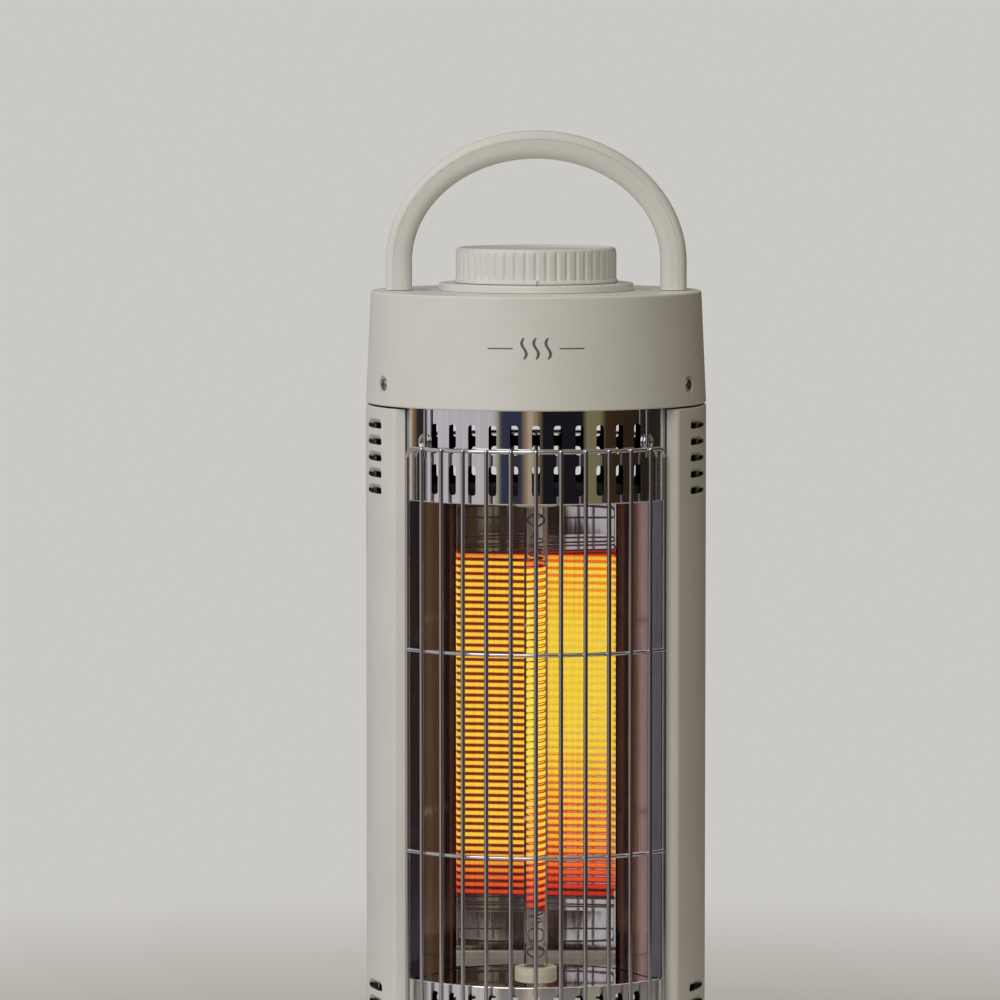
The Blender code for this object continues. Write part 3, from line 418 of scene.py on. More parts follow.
def rounded(corners, steps=FILLET_STEPS):
    """A closed outline from (u, v, radius) corners, each one with a radius drawn as an arc.

    Long straight edges get an extra point close to each arc, so that smooth shading stays on the arc.
    """
    arcs = []
    for k, (u, v, radius) in enumerate(corners):
        here = Vector((u, v))
        if radius <= 0.0:
            arcs.append([here])
            continue
        back = (Vector(corners[k - 1][:2]) - here).normalized()
        onward = (Vector(corners[(k + 1) % len(corners)][:2]) - here).normalized()
        half = math.acos(max(-1.0, min(1.0, back.dot(onward)))) / 2
        centre = here + (back + onward).normalized() * (radius / math.sin(half))
        start = here + back * (radius / math.tan(half)) - centre
        end = here + onward * (radius / math.tan(half)) - centre
        swing = math.atan2(start.x * end.y - start.y * end.x, start.dot(end))
        turns = [swing * n / steps for n in range(steps + 1)]
        arcs.append([centre + Vector((
            start.x * math.cos(turn) - start.y * math.sin(turn),
            start.x * math.sin(turn) + start.y * math.cos(turn),
        )) for turn in turns])
    outline = []
    for arc, after in zip(arcs, arcs[1:] + arcs[:1]):
        outline += arc
        straight = after[0] - arc[-1]
        if straight.length > 8 * SUPPORT:
            step = straight.normalized() * SUPPORT
            outline += [arc[-1] + step] if len(arc) > 1 else []
            outline += [after[0] - step] if len(after) > 1 else []
    return outline


def turned(outline, segments=SEGMENTS, shape=None):
    """Spin a closed (radius, height) outline about Z. shape(radius, height, angle) may vary the radius."""
    builder = bmesh.new()
    rows = []
    for radius, height in outline:
        if radius < 1e-7:
            rows.append([builder.verts.new((0.0, 0.0, height))])
            continue
        row = []
        for k in range(segments):
            angle = math.tau * k / segments
            reach = shape(radius, height, angle) if shape else radius
            row.append(builder.verts.new(around(reach, angle, height)))
        rows.append(row)
    for row, after in zip(rows, rows[1:] + rows[:1]):
        for k in range(segments):
            n = (k + 1) % segments
            corners = (row[k % len(row)], row[n % len(row)], after[n % len(after)], after[k % len(after)])
            corners = list(dict.fromkeys(corners))
            if len(corners) > 2:
                builder.faces.new(corners)
    return builder


def add_loft(builder, sections, ring=False):
    """Skin a row of sections, each a list of points; a ring joins the last to the first."""
    rows = [[builder.verts.new(point) for point in section] for section in sections]
    for row, after in zip(rows, rows[1:] + ([rows[0]] if ring else [])):
        for k in range(len(row)):
            n = (k + 1) % len(row)
            builder.faces.new((row[k], row[n], after[n], after[k]))
    if not ring:
        builder.faces.new(rows[0])
        builder.faces.new(list(reversed(rows[-1])))


def loft(sections):
    builder = bmesh.new()
    add_loft(builder, sections)
    return builder


def add_wire(builder, points, radius, sides=12, ring=False, ball_ends=False):
    """Skin a round wire along points; ball ends close it with a dome."""
    path = [Vector(point) for point in points]
    radii = [radius] * len(path)
    for _ in range(2 if ball_ends else 0):
        path.reverse()
        radii.reverse()
        tip, inner = path[-1], path[-2]
        out = (tip - inner).normalized()
        near = tip - out * min(SUPPORT, (tip - inner).length / 2)
        path = path[:-1] + [near, tip] + [tip + out * radius * math.sin(t) for t in DOME_ANGLES]
        radii = radii + [radius] + [radius * math.cos(t) for t in DOME_ANGLES]
    count = len(path)
    sections = []
    across = None
    for k, here in enumerate(path):
        before = path[k - 1] if k or ring else here
        after = path[(k + 1) % count] if k < count - 1 or ring else here
        along = (after - before).normalized()
        across = along.orthogonal() if across is None else across
        across = (across - along * across.dot(along)).normalized()
        other = along.cross(across)
        turns = [math.tau * side / sides for side in range(sides)]
        sections.append([here + radii[k] * (across * math.cos(t) + other * math.sin(t)) for t in turns])
    add_loft(builder, sections, ring)


def box(low, high):
    (x0, y0, z0), (x1, y1, z1) = low, high
    ring = ((x0, y0), (x1, y0), (x1, y1), (x0, y1))
    return loft([[(x, y, z) for x, y in ring] for z in (z0, z1)])


def rod(direction, centre, radius, length):
    """A cylinder centred on a point, along a direction."""
    builder = bmesh.new()
    turn = Vector((0, 0, 1)).rotation_difference(Vector(direction)).to_matrix().to_4x4()
    bmesh.ops.create_cone(
        builder, cap_ends=True, segments=48, radius1=radius, radius2=radius,
        depth=length, matrix=Matrix.Translation(centre) @ turn,
    )
    return builder


def smooth(mesh, sharp):
    mesh.shade_smooth()
    mesh.set_sharp_from_angle(angle=math.radians(sharp))


def mesh_of(builder, name):
    mesh = bpy.data.meshes.new(name)
    builder.to_mesh(mesh)
    builder.free()
    return mesh


def placed(name, data):
    """A new object of the scene for a mesh, a light or a camera."""
    item = bpy.data.objects.new(name, data)
    bpy.context.scene.collection.objects.link(item)
    return item


def assigned(item, nodes, body="body"):
    """Tell the frame what a piece rides on and the CAD nodes it stands for."""
    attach(item, body)
    if nodes:
        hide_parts(*nodes)


def piece(name, builder, slot, nodes=(), body="body", matrix=None, look=None, carve=(), sharp=32.0):
    """A finished piece: its mesh, its cut-outs, its material, its body and the CAD nodes it stands for."""
    for shape in (builder, *carve):
        bmesh.ops.recalc_face_normals(shape, faces=shape.faces)
    item = placed(name, mesh_of(builder, name))
    for cutter in carve:
        tool = placed(name + "_cutter", mesh_of(cutter, name + "_cutter"))
        item.modifiers.new("cut", "BOOLEAN").object = tool
        graph = bpy.context.evaluated_depsgraph_get()
        carved = bpy.data.meshes.new_from_object(item.evaluated_get(graph))
        item.modifiers.clear()
        item.data = carved
        bpy.data.objects.remove(tool)
    item.data.materials.clear()
    item.data.materials.append(look or looks[slot])
    smooth(item.data, sharp)
    if matrix is not None:
        item.matrix_world = matrix
    assigned(item, nodes, body)
    return item


def half_turn(facing):
    """The front piece's place, or the same turned to the rear."""
    return Matrix.Rotation(0.0 if facing == "front" else math.pi, 4, "Z")


# ---------------------------------------------------------------- head and control

def head_cap():
    """Round cap with a drafted wall, a soft rim, screw pockets and holes under the handle."""
    deck_low = HEAD_TOP - PLASTIC
    outline = rounded((
        (SHAFT_HOLE, HEAD_TOP, 0), (HEAD_TOP_RADIUS, HEAD_TOP, HEAD_RIM), (TOWER_RADIUS, HEAD_BOTTOM, 0.0009),
        (TOWER_RADIUS - PLASTIC, HEAD_BOTTOM, 0.0004), (HEAD_TOP_RADIUS - PLASTIC, deck_low, 0.0016),
        (SHAFT_HOLE, deck_low, 0),
    ), 8)
    cuts = []
    for angle in HEAD_SCREW_ANGLES:
        outward = around(1.0, angle)
        seat = around(HEAD_SCREW_SEAT, angle, HEAD_SCREW_HEIGHT)
        cuts.append(rod(outward, seat + outward * 0.0050, HEAD_SCREW_POCKET, 0.0100))
    for side in (-1, 1):
        cuts.append(rod((0, 0, 1), (side * TOP_SCREW_X, 0.0, HEAD_TOP), TOP_SCREW_POCKET, 0.0024))
    piece("head_cap", turned(outline), "shell", ["head_shell"], carve=cuts, sharp=28.0)


def head_wall(height):
    """Radius of the head's drafted wall at a height."""
    return TOWER_RADIUS + (HEAD_TOP_RADIUS - TOWER_RADIUS) * (height - HEAD_BOTTOM) / (HEAD_TOP - HEAD_BOTTOM)


def on_head(x, height, depth):
    """A point of a print on the head's wall, at a depth out of it."""
    radius = head_wall(height) + depth
    return around(radius, x / radius, height)


def heat_mark():
    """Three rising heat waves between two short bars, printed on the front of the head."""
    builder = bmesh.new()
    steps, half_width, height = 28, 0.00075, 0.0112
    inside, outside = -0.0002, 0.00012
    for k in (-1, 0, 1):
        sections = []
        for n in range(steps + 1):
            share = n / steps
            middle = 0.0062 * k + 0.0012 * math.sin(math.tau * share)
            taper = half_width * math.sqrt(max(0.02, 1.0 - abs(2.0 * share - 1.0) ** 6))
            rise = MARK_HEIGHT + height * (share - 0.5)
            ring = ((-taper, inside), (taper, inside), (taper, outside), (-taper, outside))
            sections.append([on_head(middle + edge, rise, depth) for edge, depth in ring])
        add_loft(builder, sections)
    bar_start, bar_length, bar_steps, half_bar = 0.0120, 0.0130, 12, 0.0003
    ring = ((-half_bar, inside), (-half_bar, outside), (half_bar, outside), (half_bar, inside))
    for side in (-1, 1):
        reaches = [side * (bar_start + bar_length * n / bar_steps) for n in range(bar_steps + 1)]
        add_loft(builder, [[on_head(x, MARK_HEIGHT + edge, depth) for edge, depth in ring] for x in reaches])
    piece("head_mark", builder, "shell", look=print_ink)


def dial_shape(radius, height, angle):
    """Rounded ribs on the dial's side, fading out towards its flare and its rim."""
    if radius < DIAL_RADIUS - 0.0012:
        return radius
    rise = (height - DIAL_SEAT) / (DIAL_TOP - DIAL_SEAT)
    fade = min(1.0, max(0.0, (rise - 0.06) / 0.10)) * min(1.0, max(0.0, (0.93 - rise) / 0.08))
    groove = max(0.0, math.cos(DIAL_RIBS * angle)) ** 2
    return radius - DIAL_RIB_DEPTH * fade * groove


def dial():
    top = DIAL_TOP
    outline = rounded((
        (0.0, top - 0.0013, 0), (0.0370, top - 0.0013, 0.0030), (0.0392, top, 0.0007),
        (0.0414, top, 0.0016), (DIAL_RADIUS, top - 0.0030, 0), (DIAL_RADIUS, DIAL_SEAT + 0.0100, 0),
        (DIAL_RADIUS, DIAL_SEAT + 0.0020, 0.0012),
        (0.0428, DIAL_SEAT + 0.0009, 0.0004), (0.0428, DIAL_SEAT, 0.0002), (0.0400, DIAL_SEAT, 0),
        (0.0390, DIAL_SEAT + 0.0140, 0), (0.0060, DIAL_SEAT + 0.0140, 0), (0.0060, DIAL_SEAT, 0),
        (0.0032, DIAL_SEAT, 0), (0.0032, DIAL_SEAT + 0.0132, 0), (0.0, DIAL_SEAT + 0.0132, 0),
    ))
    fine = []
    for here, after in zip(outline, outline[1:] + outline[:1]):
        fine.append(here)
        if here.x > 0.0410 and after.x > 0.0410 and abs(after.y - here.y) > 0.0020:
            fine += [here.lerp(after, share / 4) for share in (1, 2, 3)]
    piece("dial_knob", turned(fine, DIAL_RIBS * 12, dial_shape), "control", ["dial"], "dial", sharp=40.0)
    nub = rounded(((0.0, -0.0446, 0.0004), (0.0019, -0.0410, 0), (-0.0019, -0.0410, 0)))
    heights = (DIAL_SEAT + 0.0002, DIAL_SEAT + 0.0018, DIAL_SEAT + 0.0023)
    sections = [[(x * scale, -0.0410 + (y + 0.0410) * scale, z) for x, y in nub]
                for z, scale in zip(heights, (1.0, 1.0, 0.85))]
    piece("dial_pointer", loft(sections), "control", body="dial")


def flange():
    bottom, top, radius = FLANGE_LOW.z - 0.0001, FLANGE_HIGH.z, FLANGE_HIGH.x
    outline = rounded((
        (SHAFT_HOLE, bottom, 0), (radius, bottom, 0), (radius, top, 0.0009), (SHAFT_HOLE, top, 0),
    ))
    piece("flange_ring", turned(outline), "control", ["dial_flange"])
    marks = bmesh.new()
    for degrees, size in ((-60, 0.0007), (-30, 0.0004), (0, 0.0007), (30, 0.0004), (60, 0.0007)):
        bmesh.ops.create_cone(
            marks, cap_ends=True, segments=24, radius1=size, radius2=size, depth=0.0002,
            matrix=Matrix.Translation(around(FLANGE_MARK_RADIUS, math.radians(degrees), top)),
        )
    piece("flange_marks", marks, "control", look=print_ink)


def handle_stations(outer, inner, foot):
    """Pairs of (x, z) points on the outer and inner curves, from one foot over the top to the other."""
    stations = [((outer[0], foot), (inner[0], foot))]
    for k in range(HANDLE_STEPS + 1):
        angle = math.pi * k / HANDLE_STEPS
        stations.append(tuple(
            (half * math.cos(angle), HANDLE_CENTRE + rise * math.sin(angle)) for half, rise in (outer, inner)
        ))
    stations.append(((-outer[0], foot), (-inner[0], foot)))
    return stations


def handle():
    """Arch of two shells with a fine groove where they meet."""
    outer = (HANDLE_HIGH.x, HANDLE_HIGH.z - HANDLE_CENTRE)
    stations = handle_stations(outer, HANDLE_INNER, HANDLE_LOW.z)
    half, full = HANDLE_HIGH.y, outer[0] - HANDLE_INNER[0]
    ease, closer = 0.0001, 0.00012
    sections = {
        "handle_cap": rounded((
            (HANDLE_CAP + closer, -half + 0.0001, ease), (0.0, -half + 0.0001, 0.0039),
            (0.0, half - 0.0001, 0.0039), (HANDLE_CAP + closer, half - 0.0001, ease),
        ), 9),
        "handle_grip": rounded((
            (HANDLE_CAP + GAP - closer, -half, ease), (HANDLE_CAP + GAP - closer, half, ease),
            (full, half - 0.0006, 0.0058), (full, -half + 0.0006, 0.0058),
        ), 9),
    }
    for name, section in sections.items():
        rows = []
        for (ox, oz), (ix, iz) in stations:
            start, inward = Vector((ox, 0.0, oz)), Vector((ix - ox, 0.0, iz - oz))
            rows.append([start + inward * (depth / full) + Vector((0.0, across, 0.0))
                         for depth, across in section])
        piece(name, loft(rows), "handle", ["handle_outer" if name == "handle_cap" else "handle_inner"])


def screw(name, node, radius, height, cross, place):
    """A pan-head screw with a cross recess of that arm length, made on z = 0 pointing up."""
    head = turned(rounded((
        (0.0, height, 0), (radius * 0.86, height, height * 0.35), (radius, 0.0, 0.0001), (0.0, 0.0, 0),
    ), 6), 48)
    arms = []
    for turn in (0.0, math.pi / 2):
        arm = box((-cross, -cross * 0.22, height * 0.35), (cross, cross * 0.22, height * 2.0))
        bmesh.ops.rotate(arm, verts=arm.verts, cent=(0, 0, 0), matrix=Matrix.Rotation(turn, 3, "Z"))
        arms.append(arm)
    piece(name, head, "fastener", [node], matrix=place, carve=arms)


def screws():
    """Cross-head screws: on the head's side, on its deck and under the base."""
    for k, angle in enumerate(HEAD_SCREW_ANGLES):
        outward = around(1.0, angle)
        seat = around(HEAD_SCREW_SEAT, angle, HEAD_SCREW_HEIGHT) + outward * 0.0001
        turn = Vector((0, 0, 1)).rotation_difference(outward).to_matrix().to_4x4()
        twist = Matrix.Rotation(math.radians(20 + 25 * k), 4, "Z")
        place = Matrix.Translation(seat) @ turn @ twist
        screw(f"side_screw_{k + 1}", f"head_screw_{k + 1}", 0.0034, 0.0013, 0.0022, place)
    for side in ("left", "right"):
        low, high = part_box(side + "_top_screw")
        place = Matrix.Translation(((low.x + high.x) / 2, 0.0, high.z - 0.0010))
        screw(side + "_deck_screw", side + "_top_screw", 0.0030, 0.0010, 0.0017, place)
    for k in range(4):
        low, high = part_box(f"base_screw_{k + 1}")
        centre = (low + high) / 2
        place = Matrix.Translation((centre.x, centre.y, low.z + 0.0022)) @ Matrix.Rotation(math.pi, 4, "X")
        screw(f"underside_screw_{k + 1}", f"base_screw_{k + 1}", 0.0035, 0.0022, 0.0021, place)


# ---------------------------------------------------------------- columns

def column_outline():
    """C-section facing +X: outer wall, round corners and lips turned in across the front."""
    pivot_y = LIP_FACE - COLUMN_CORNER
    pivot_x = math.sqrt((TOWER_RADIUS - COLUMN_CORNER) ** 2 - pivot_y ** 2)
    reach = math.atan2(pivot_y, pivot_x)
    steps = 44
    outer = [(TOWER_RADIUS * math.cos(a), TOWER_RADIUS * math.sin(a))
             for a in (reach * (2 * k / steps - 1) for k in range(steps + 1))]
    corner_steps = 8
    lip = []
    for k in range(1, corner_steps + 1):
        angle = reach + (math.pi / 2 - reach) * k / corner_steps
        lip.append((pivot_x + COLUMN_CORNER * math.cos(angle), pivot_y + COLUMN_CORNER * math.sin(angle)))
    inner_radius = TOWER_RADIUS - COLUMN_WALL
    back = LIP_FACE - LIP_THICKNESS
    ease = 0.0003
    lip += [(pivot_x - SUPPORT, LIP_FACE), (LIP_EDGE + ease, LIP_FACE), (LIP_EDGE, LIP_FACE - ease),
            (LIP_EDGE, back + ease), (LIP_EDGE + ease, back),
            (math.sqrt(inner_radius ** 2 - back ** 2), back)]
    inner = [(inner_radius * math.cos(a), inner_radius * math.sin(a))
             for a in (reach * (1 - 2 * k / steps) for k in range(1, steps))]
    return outer + lip + inner + [(x, -y) for x, y in reversed(lip)]


def inset(outline, distance):
    """The outline with each point moved into its material."""
    moved = []
    for k, (x, y) in enumerate(outline):
        (x0, y0), (x1, y1) = outline[k - 1], outline[(k + 1) % len(outline)]
        along = Vector((x1 - x0, y1 - y0)).normalized()
        moved.append((x - along.y * distance, y + along.x * distance))
    return moved


def louvre_lows():
    """The height of each louvre's lower edge, from the bottom group to the top one."""
    lows = []
    for row in range(LOUVRE_COUNT):
        lows.append(COLUMN_BOTTOM + LOUVRE_END_MARGIN + row * LOUVRE_PITCH)
        lows.append(COLUMN_TOP - LOUVRE_END_MARGIN - LOUVRE_HEIGHT - row * LOUVRE_PITCH)
    return lows


def louvre_scoops():
    """Scoops that slope in from outside and break through at their lower edge as a pointed slit."""
    builder = bmesh.new()
    outside, inside = TOWER_RADIUS + 0.0010, TOWER_RADIUS - COLUMN_WALL - 0.0010
    rise = LOUVRE_HEIGHT - LOUVRE_SLIT
    first, last = LOUVRE_ANGLES
    steps, taper = 24, 4.0
    for low in louvre_lows():
        for side in (-1, 1):
            sections = []
            for n in range(steps + 1):
                share = n / steps
                angle = side * (first + (last - first) * share)
                close = LOUVRE_POINT * (1.0 - min(1.0, taper * share, 3.0 * taper * (1.0 - share))) ** 2
                bottom, top = low + close, low + LOUVRE_SLIT - close
                fade = 1.0 - close / LOUVRE_POINT
                profile = ((outside, bottom), (outside, top + rise * fade), (inside, top), (inside, bottom))
                sections.append([(r * math.cos(angle), r * math.sin(angle), z) for r, z in profile])
            add_loft(builder, sections)
    return builder


def paint_slit_shade(mesh):
    """Paint the walls of the louvres' slits with the black look, as painted shade of the dark gap behind
    them.
    """
    mesh.materials.append(looks["dark_plastic"])
    skin = 0.0002
    for face in mesh.polygons:
        reach = math.hypot(face.center.x, face.center.y)
        in_wall = TOWER_RADIUS - COLUMN_WALL + skin < reach < TOWER_RADIUS - skin
        in_angle = abs(face.center.y) < LIP_FACE - 2 * COLUMN_CORNER
        in_slit = any(low - skin < face.center.z < low + LOUVRE_SLIT + skin for low in louvre_lows())
        face.material_index = int(in_wall and in_angle and in_slit)


def columns():
    outline = column_outline()
    ease = 0.0004
    low, high = COLUMN_BOTTOM, COLUMN_TOP
    levels = ((low, ease), (low + ease, 0.0), (high - ease, 0.0), (high, ease))
    sections = []
    for z, depth in levels:
        sections.append([(x, y, z) for x, y in (inset(outline, depth) if depth else outline)])
    for name, turn in (("right", 0.0), ("left", math.pi)):
        item = piece(
            name + "_column_cover", loft(sections), "shell", [name + "_column"],
            matrix=Matrix.Rotation(turn, 4, "Z"), carve=[louvre_scoops()], sharp=30.0,
        )
        paint_slit_shade(item.data)


# ---------------------------------------------------------------- guards

def guard_frame():
    """Closed line of the guard's outer wire: a rectangle with round corners, bent round the tower."""
    reach = WIRE_STEPS * WIRE_PITCH * RAIL_RADIUS
    middle, half = (GUARD_TOP + GUARD_BOTTOM) / 2, (GUARD_TOP - GUARD_BOTTOM) / 2
    corners = ((-reach, -half, GUARD_CORNER), (reach, -half, GUARD_CORNER), (reach, half, GUARD_CORNER),
               (-reach, half, GUARD_CORNER))
    outline = rounded(corners, 8)
    points = []
    for here, after in zip(outline, outline[1:] + outline[:1]):
        count = max(1, round(abs(after.x - here.x) / 0.003))
        points += [here.lerp(after, n / count) for n in range(count)]
    return [around(RAIL_RADIUS, u / RAIL_RADIUS, middle + v) for u, v in points]


def hook(builder, side, level, far):
    """A guard's hook: a short leg towards the head or the base, with a curl beside it."""
    angle = side * (WIRE_STEPS - 1) * WIRE_PITCH * 0.985
    way = 1.0 if far > level else -1.0
    leg = [around(RAIL_RADIUS, angle, level - way * 0.004), around(RAIL_RADIUS, angle, far)]
    add_wire(builder, leg, WIRE_RADIUS * 0.8, 10)
    curl = []
    for n in range(29):
        turn = math.tau * 0.85 * n / 28
        spot = around(RAIL_RADIUS - 0.0016, angle + side * (0.030 + 0.034 * math.sin(turn)), level)
        curl.append(spot + Vector((0.0, 0.0, way * (0.0036 - 0.0034 * math.cos(turn)))))
    add_wire(builder, curl, WIRE_RADIUS * 0.75, 10, ball_ends=True)


def guards():
    frame_line = guard_frame()
    reach = WIRE_STEPS * WIRE_PITCH
    proud = 0.0002
    for facing in ("front", "rear"):
        builder = bmesh.new()
        add_wire(builder, frame_line, WIRE_RADIUS, 12, ring=True)
        for k in range(1 - WIRE_STEPS, WIRE_STEPS):
            heights = (GUARD_BOTTOM - proud, GUARD_TOP + proud)
            ends = [around(GUARD_RADIUS, k * WIRE_PITCH, z) for z in heights]
            add_wire(builder, ends, WIRE_RADIUS, 14, ball_ends=True)
        for level in GUARD_RAILS:
            arc = [around(RAIL_RADIUS, reach * (n / 24 - 1), level) for n in range(49)]
            add_wire(builder, arc, WIRE_RADIUS * 0.95, 12)
        for side in (-1, 1):
            hook(builder, side, GUARD_TOP, HEAD_BOTTOM - 2 * GAP)
            hook(builder, side, GUARD_BOTTOM, DECK_TOP + 2 * GAP)
        piece(facing + "_wire_guard", builder, "guard", [facing + "_guard"],
              matrix=half_turn(facing), sharp=60.0)


# ---------------------------------------------------------------- mirrors

class RoundSheet:
    """Sheet metal round Z, kept as points on an outer and an inner skin with exact smooth normals."""

    def __init__(self):
        self.points = []
        self.known = {}
        self.faces = []
        self.normals = []
        self.painted_shade_flags = []

    def point(self, angle, radius, height):
        key = (round(math.degrees(angle) % 360.0, 4) % 360.0, round(radius, 6), round(height, 6))
        if key not in self.known:
            self.known[key] = len(self.points)
            self.points.append(around(radius, angle, height))
        return self.known[key]

    def face(self, corners, normals, painted_shade=0, backward=False):
        """A face from (angle, radius, height) corners and their normals; corners that meet count once."""
        kept = {}
        for corner, normal in list(zip(corners, normals))[::-1 if backward else 1]:
            kept.setdefault(self.point(*corner), normal)
        if len(kept) > 2:
            self.faces.append(list(kept))
            self.normals.append(list(kept.values()))
            self.painted_shade_flags.append(painted_shade)

    def build(self, name, node):
        mesh = bpy.data.meshes.new(name)
        mesh.from_pydata(self.points, [], self.faces)
        smooth(mesh, 35.0)
        mesh.normals_split_custom_set([normal for face in self.normals for normal in face])
        mesh.materials.append(looks["mirror"])
        mesh.materials.append(painted_pan_shade)
        # Material 1 is the near-black painted shade
        mesh.polygons.foreach_set("material_index", self.painted_shade_flags)
        assigned(placed(name, mesh), [node])


def slot_rim(left, right, low, high):
    """Pairs of points going round a cell: one on the cell's edge, one on its slot's round-cornered rim."""
    across, up = 6, 12
    square = [(-1 + 2 * k / across, -1) for k in range(across)]
    square += [(1, math.sin(math.pi * (k / up - 0.5))) for k in range(up)]
    square += [(-a, -b) for a, b in square]
    middle = (left + right) / 2
    half_height = (high - low) / 2
    pairs = []
    for a, b in square:
        x, y = a * SLOT_WIDTH / 2, b * half_height
        core_x, core_y = SLOT_WIDTH / 2 - SLOT_CORNER, half_height - SLOT_CORNER
        if abs(x) > core_x and abs(y) > core_y:
            centre = Vector((math.copysign(core_x, x), math.copysign(core_y, y)))
            x, y = centre + (Vector((x, y)) - centre).normalized() * SLOT_CORNER
        pairs.append(((a, b), (middle + x / BAND_RADIUS, (low + high) / 2 + y)))
    return pairs


def mirror_pan(name, node, disc, rim):
    """Round pan: a disc with a rolled edge and a wall with two rows of slots, front and rear."""
    sheet = RoundSheet()
    way = 1.0 if rim > disc else -1.0
    outer, inner = BAND_RADIUS, BAND_RADIUS - SHEET
    outward = lambda angle: around(1.0, angle)
    inward = lambda angle: around(-1.0, angle)
    skins = ((outer, outward), (inner, inward))
    split = (SLOT_ROWS[0][1] + SLOT_ROWS[1][0]) / 2
    rows = ((DISC_CORNER, split, SLOT_ROWS[0]), (split, abs(rim - disc), SLOT_ROWS[1]))
    half_band = SLOT_COLUMNS * SLOT_PITCH / 2
    angles = []

    # The inner skin, and the outer skin behind the columns, take the near-black painted shade
    def skin_face(corners, skin, painted_column_shade=False):
        radius, facing = skins[skin]
        places = [(angle, radius, height) for angle, height in corners]
        normals = [facing(angle) for angle, _ in corners]
        sheet.face(places, normals, int(skin == 1 or painted_column_shade), (skin == 0) != (way > 0))

    for turn in (0.0, math.pi):
        for k in range(SLOT_COLUMNS):
            left = turn - half_band + k * SLOT_PITCH
            right = left + SLOT_PITCH
            angles += [left + SLOT_PITCH * n / 6 for n in range(6)]
            for near, far, (slot_near, slot_far) in rows:
                pairs = slot_rim(left, right, slot_near, slot_far)
                ring = []
                for (a, b), (angle, depth) in pairs:
                    edge_angle = (left + right) / 2 + a * SLOT_PITCH / 2
                    edge_depth = (near + far) / 2 + b * (far - near) / 2
                    ring.append(((edge_angle, disc + way * edge_depth), (angle, disc + way * depth)))
                for (edge, slot), (next_edge, next_slot) in zip(ring, ring[1:] + ring[:1]):
                    for skin in (0, 1):
                        skin_face([edge, next_edge, next_slot, slot], skin)
                    side = [(slot[0], outer, slot[1]), (next_slot[0], outer, next_slot[1]),
                            (next_slot[0], inner, next_slot[1]), (slot[0], inner, slot[1])]
                    sheet.face(side, [Vector()] * 4, backward=way < 0)
        plain_steps = 72
        step = (math.pi - 2 * half_band) / plain_steps
        for k in range(plain_steps):
            left = turn + half_band + k * step
            angles.append(left)
            for near, far, _ in rows:
                middle, reach = (near + far) / 2, (far - near) / 2
                ups = [middle + reach * math.sin(math.pi * (n / 12 - 0.5)) for n in range(13)]
                for low, high in zip(ups, ups[1:]):
                    corners = [(left, disc + way * low), (left + step, disc + way * low),
                               (left + step, disc + way * high), (left, disc + way * high)]
                    for skin in (0, 1):
                        skin_face(corners, skin, min(k, plain_steps - k) * step > BAND_REACH - half_band)

    def band_row(first, second, facings, painted_shade):
        """A strip all the way round between two (radius, height) circles."""
        for angle, after in zip(angles, angles[1:] + angles[:1]):
            corners = [(angle, *first), (after, *first), (after, *second), (angle, *second)]
            normals = [facings[0](angle), facings[0](after), facings[1](after), facings[1](angle)]
            sheet.face(corners, normals, painted_shade, way < 0)

    def leaning(lean, sign):
        return lambda angle: sign * (around(math.cos(lean), angle) + Vector((0, 0, -way * math.sin(lean))))

    turns = [math.pi / 2 * n / 5 for n in range(6)]
    # The disc's inner face (sign < 0) takes the near-black painted shade
    for thickness, sign in ((0.0, 1.0), (SHEET, -1.0)):
        bend = DISC_CORNER - thickness
        arc = [(outer - DISC_CORNER + bend * math.cos(t), disc + way * (DISC_CORNER - bend * math.sin(t)), t)
               for t in turns]
        for (r0, z0, t0), (r1, z1, t1) in zip(arc, arc[1:]):
            first, second = ((r1, z1), (r0, z0)) if sign > 0 else ((r0, z0), (r1, z1))
            leans = (t1, t0) if sign > 0 else (t0, t1)
            band_row(first, second, (leaning(leans[0], sign), leaning(leans[1], sign)), int(sign < 0))
        flat = leaning(math.pi / 2, sign)
        edge, height, _ = arc[-1]
        circles = [(edge * share, height) for share in (1.0, 0.75, 0.5, 0.25, 0.0)]
        for near_rim, near_axis in zip(circles, circles[1:]):
            pair = (near_axis, near_rim) if sign > 0 else (near_rim, near_axis)
            band_row(*pair, (flat, flat), int(sign < 0))
    rim_flat = lambda angle: Vector((0, 0, way))
    band_row((outer, rim), (inner, rim), (rim_flat, rim_flat), 0)
    sheet.build(name, node)


def troughs():
    """Parabolic mirror round each lamp, with flat wings folded out to the columns."""
    steps = 96
    line = []
    for k in range(steps + 1):
        x = TROUGH_HALF_WIDTH * (2 * k / steps - 1)
        line.append(Vector((x, TROUGH_VERTEX + x * x / (4 * TROUGH_FOCUS))))
    wing = [Vector(point) for point in WING_POINTS]
    line = [Vector((-x, y)) for x, y in reversed(wing)] + line + wing
    front, back = [], []
    for k, here in enumerate(line):
        along = (line[min(k + 1, len(line) - 1)] - line[max(k - 1, 0)]).normalized()
        across = Vector((-along.y, along.x)) * REFLECTOR_SHEET / 2
        front.append(here + across)
        back.append(here - across)
    outline = front + list(reversed(back))
    low, high = (corner.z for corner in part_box("front_reflector"))
    for facing in ("front", "rear"):
        sections = [[(x, -y, z) for x, y in outline] for z in (low, high)]
        item = piece(facing + "_mirror_trough", loft(sections), "mirror", [facing + "_reflector"],
                     matrix=half_turn(facing), sharp=14.0)
        # The wings' reddish metal is painted glow of the coil
        item.data.materials.append(wing_painted_glow)
        # The outer folds' dark bluish metal is painted dark reflection
        item.data.materials.append(fold_painted_reflection)
        for face in item.data.polygons:
            out = abs(face.center.x)
            face.material_index = int(out > TROUGH_HALF_WIDTH) + int(out > WING_POINTS[0][0])


# ---------------------------------------------------------------- lamps

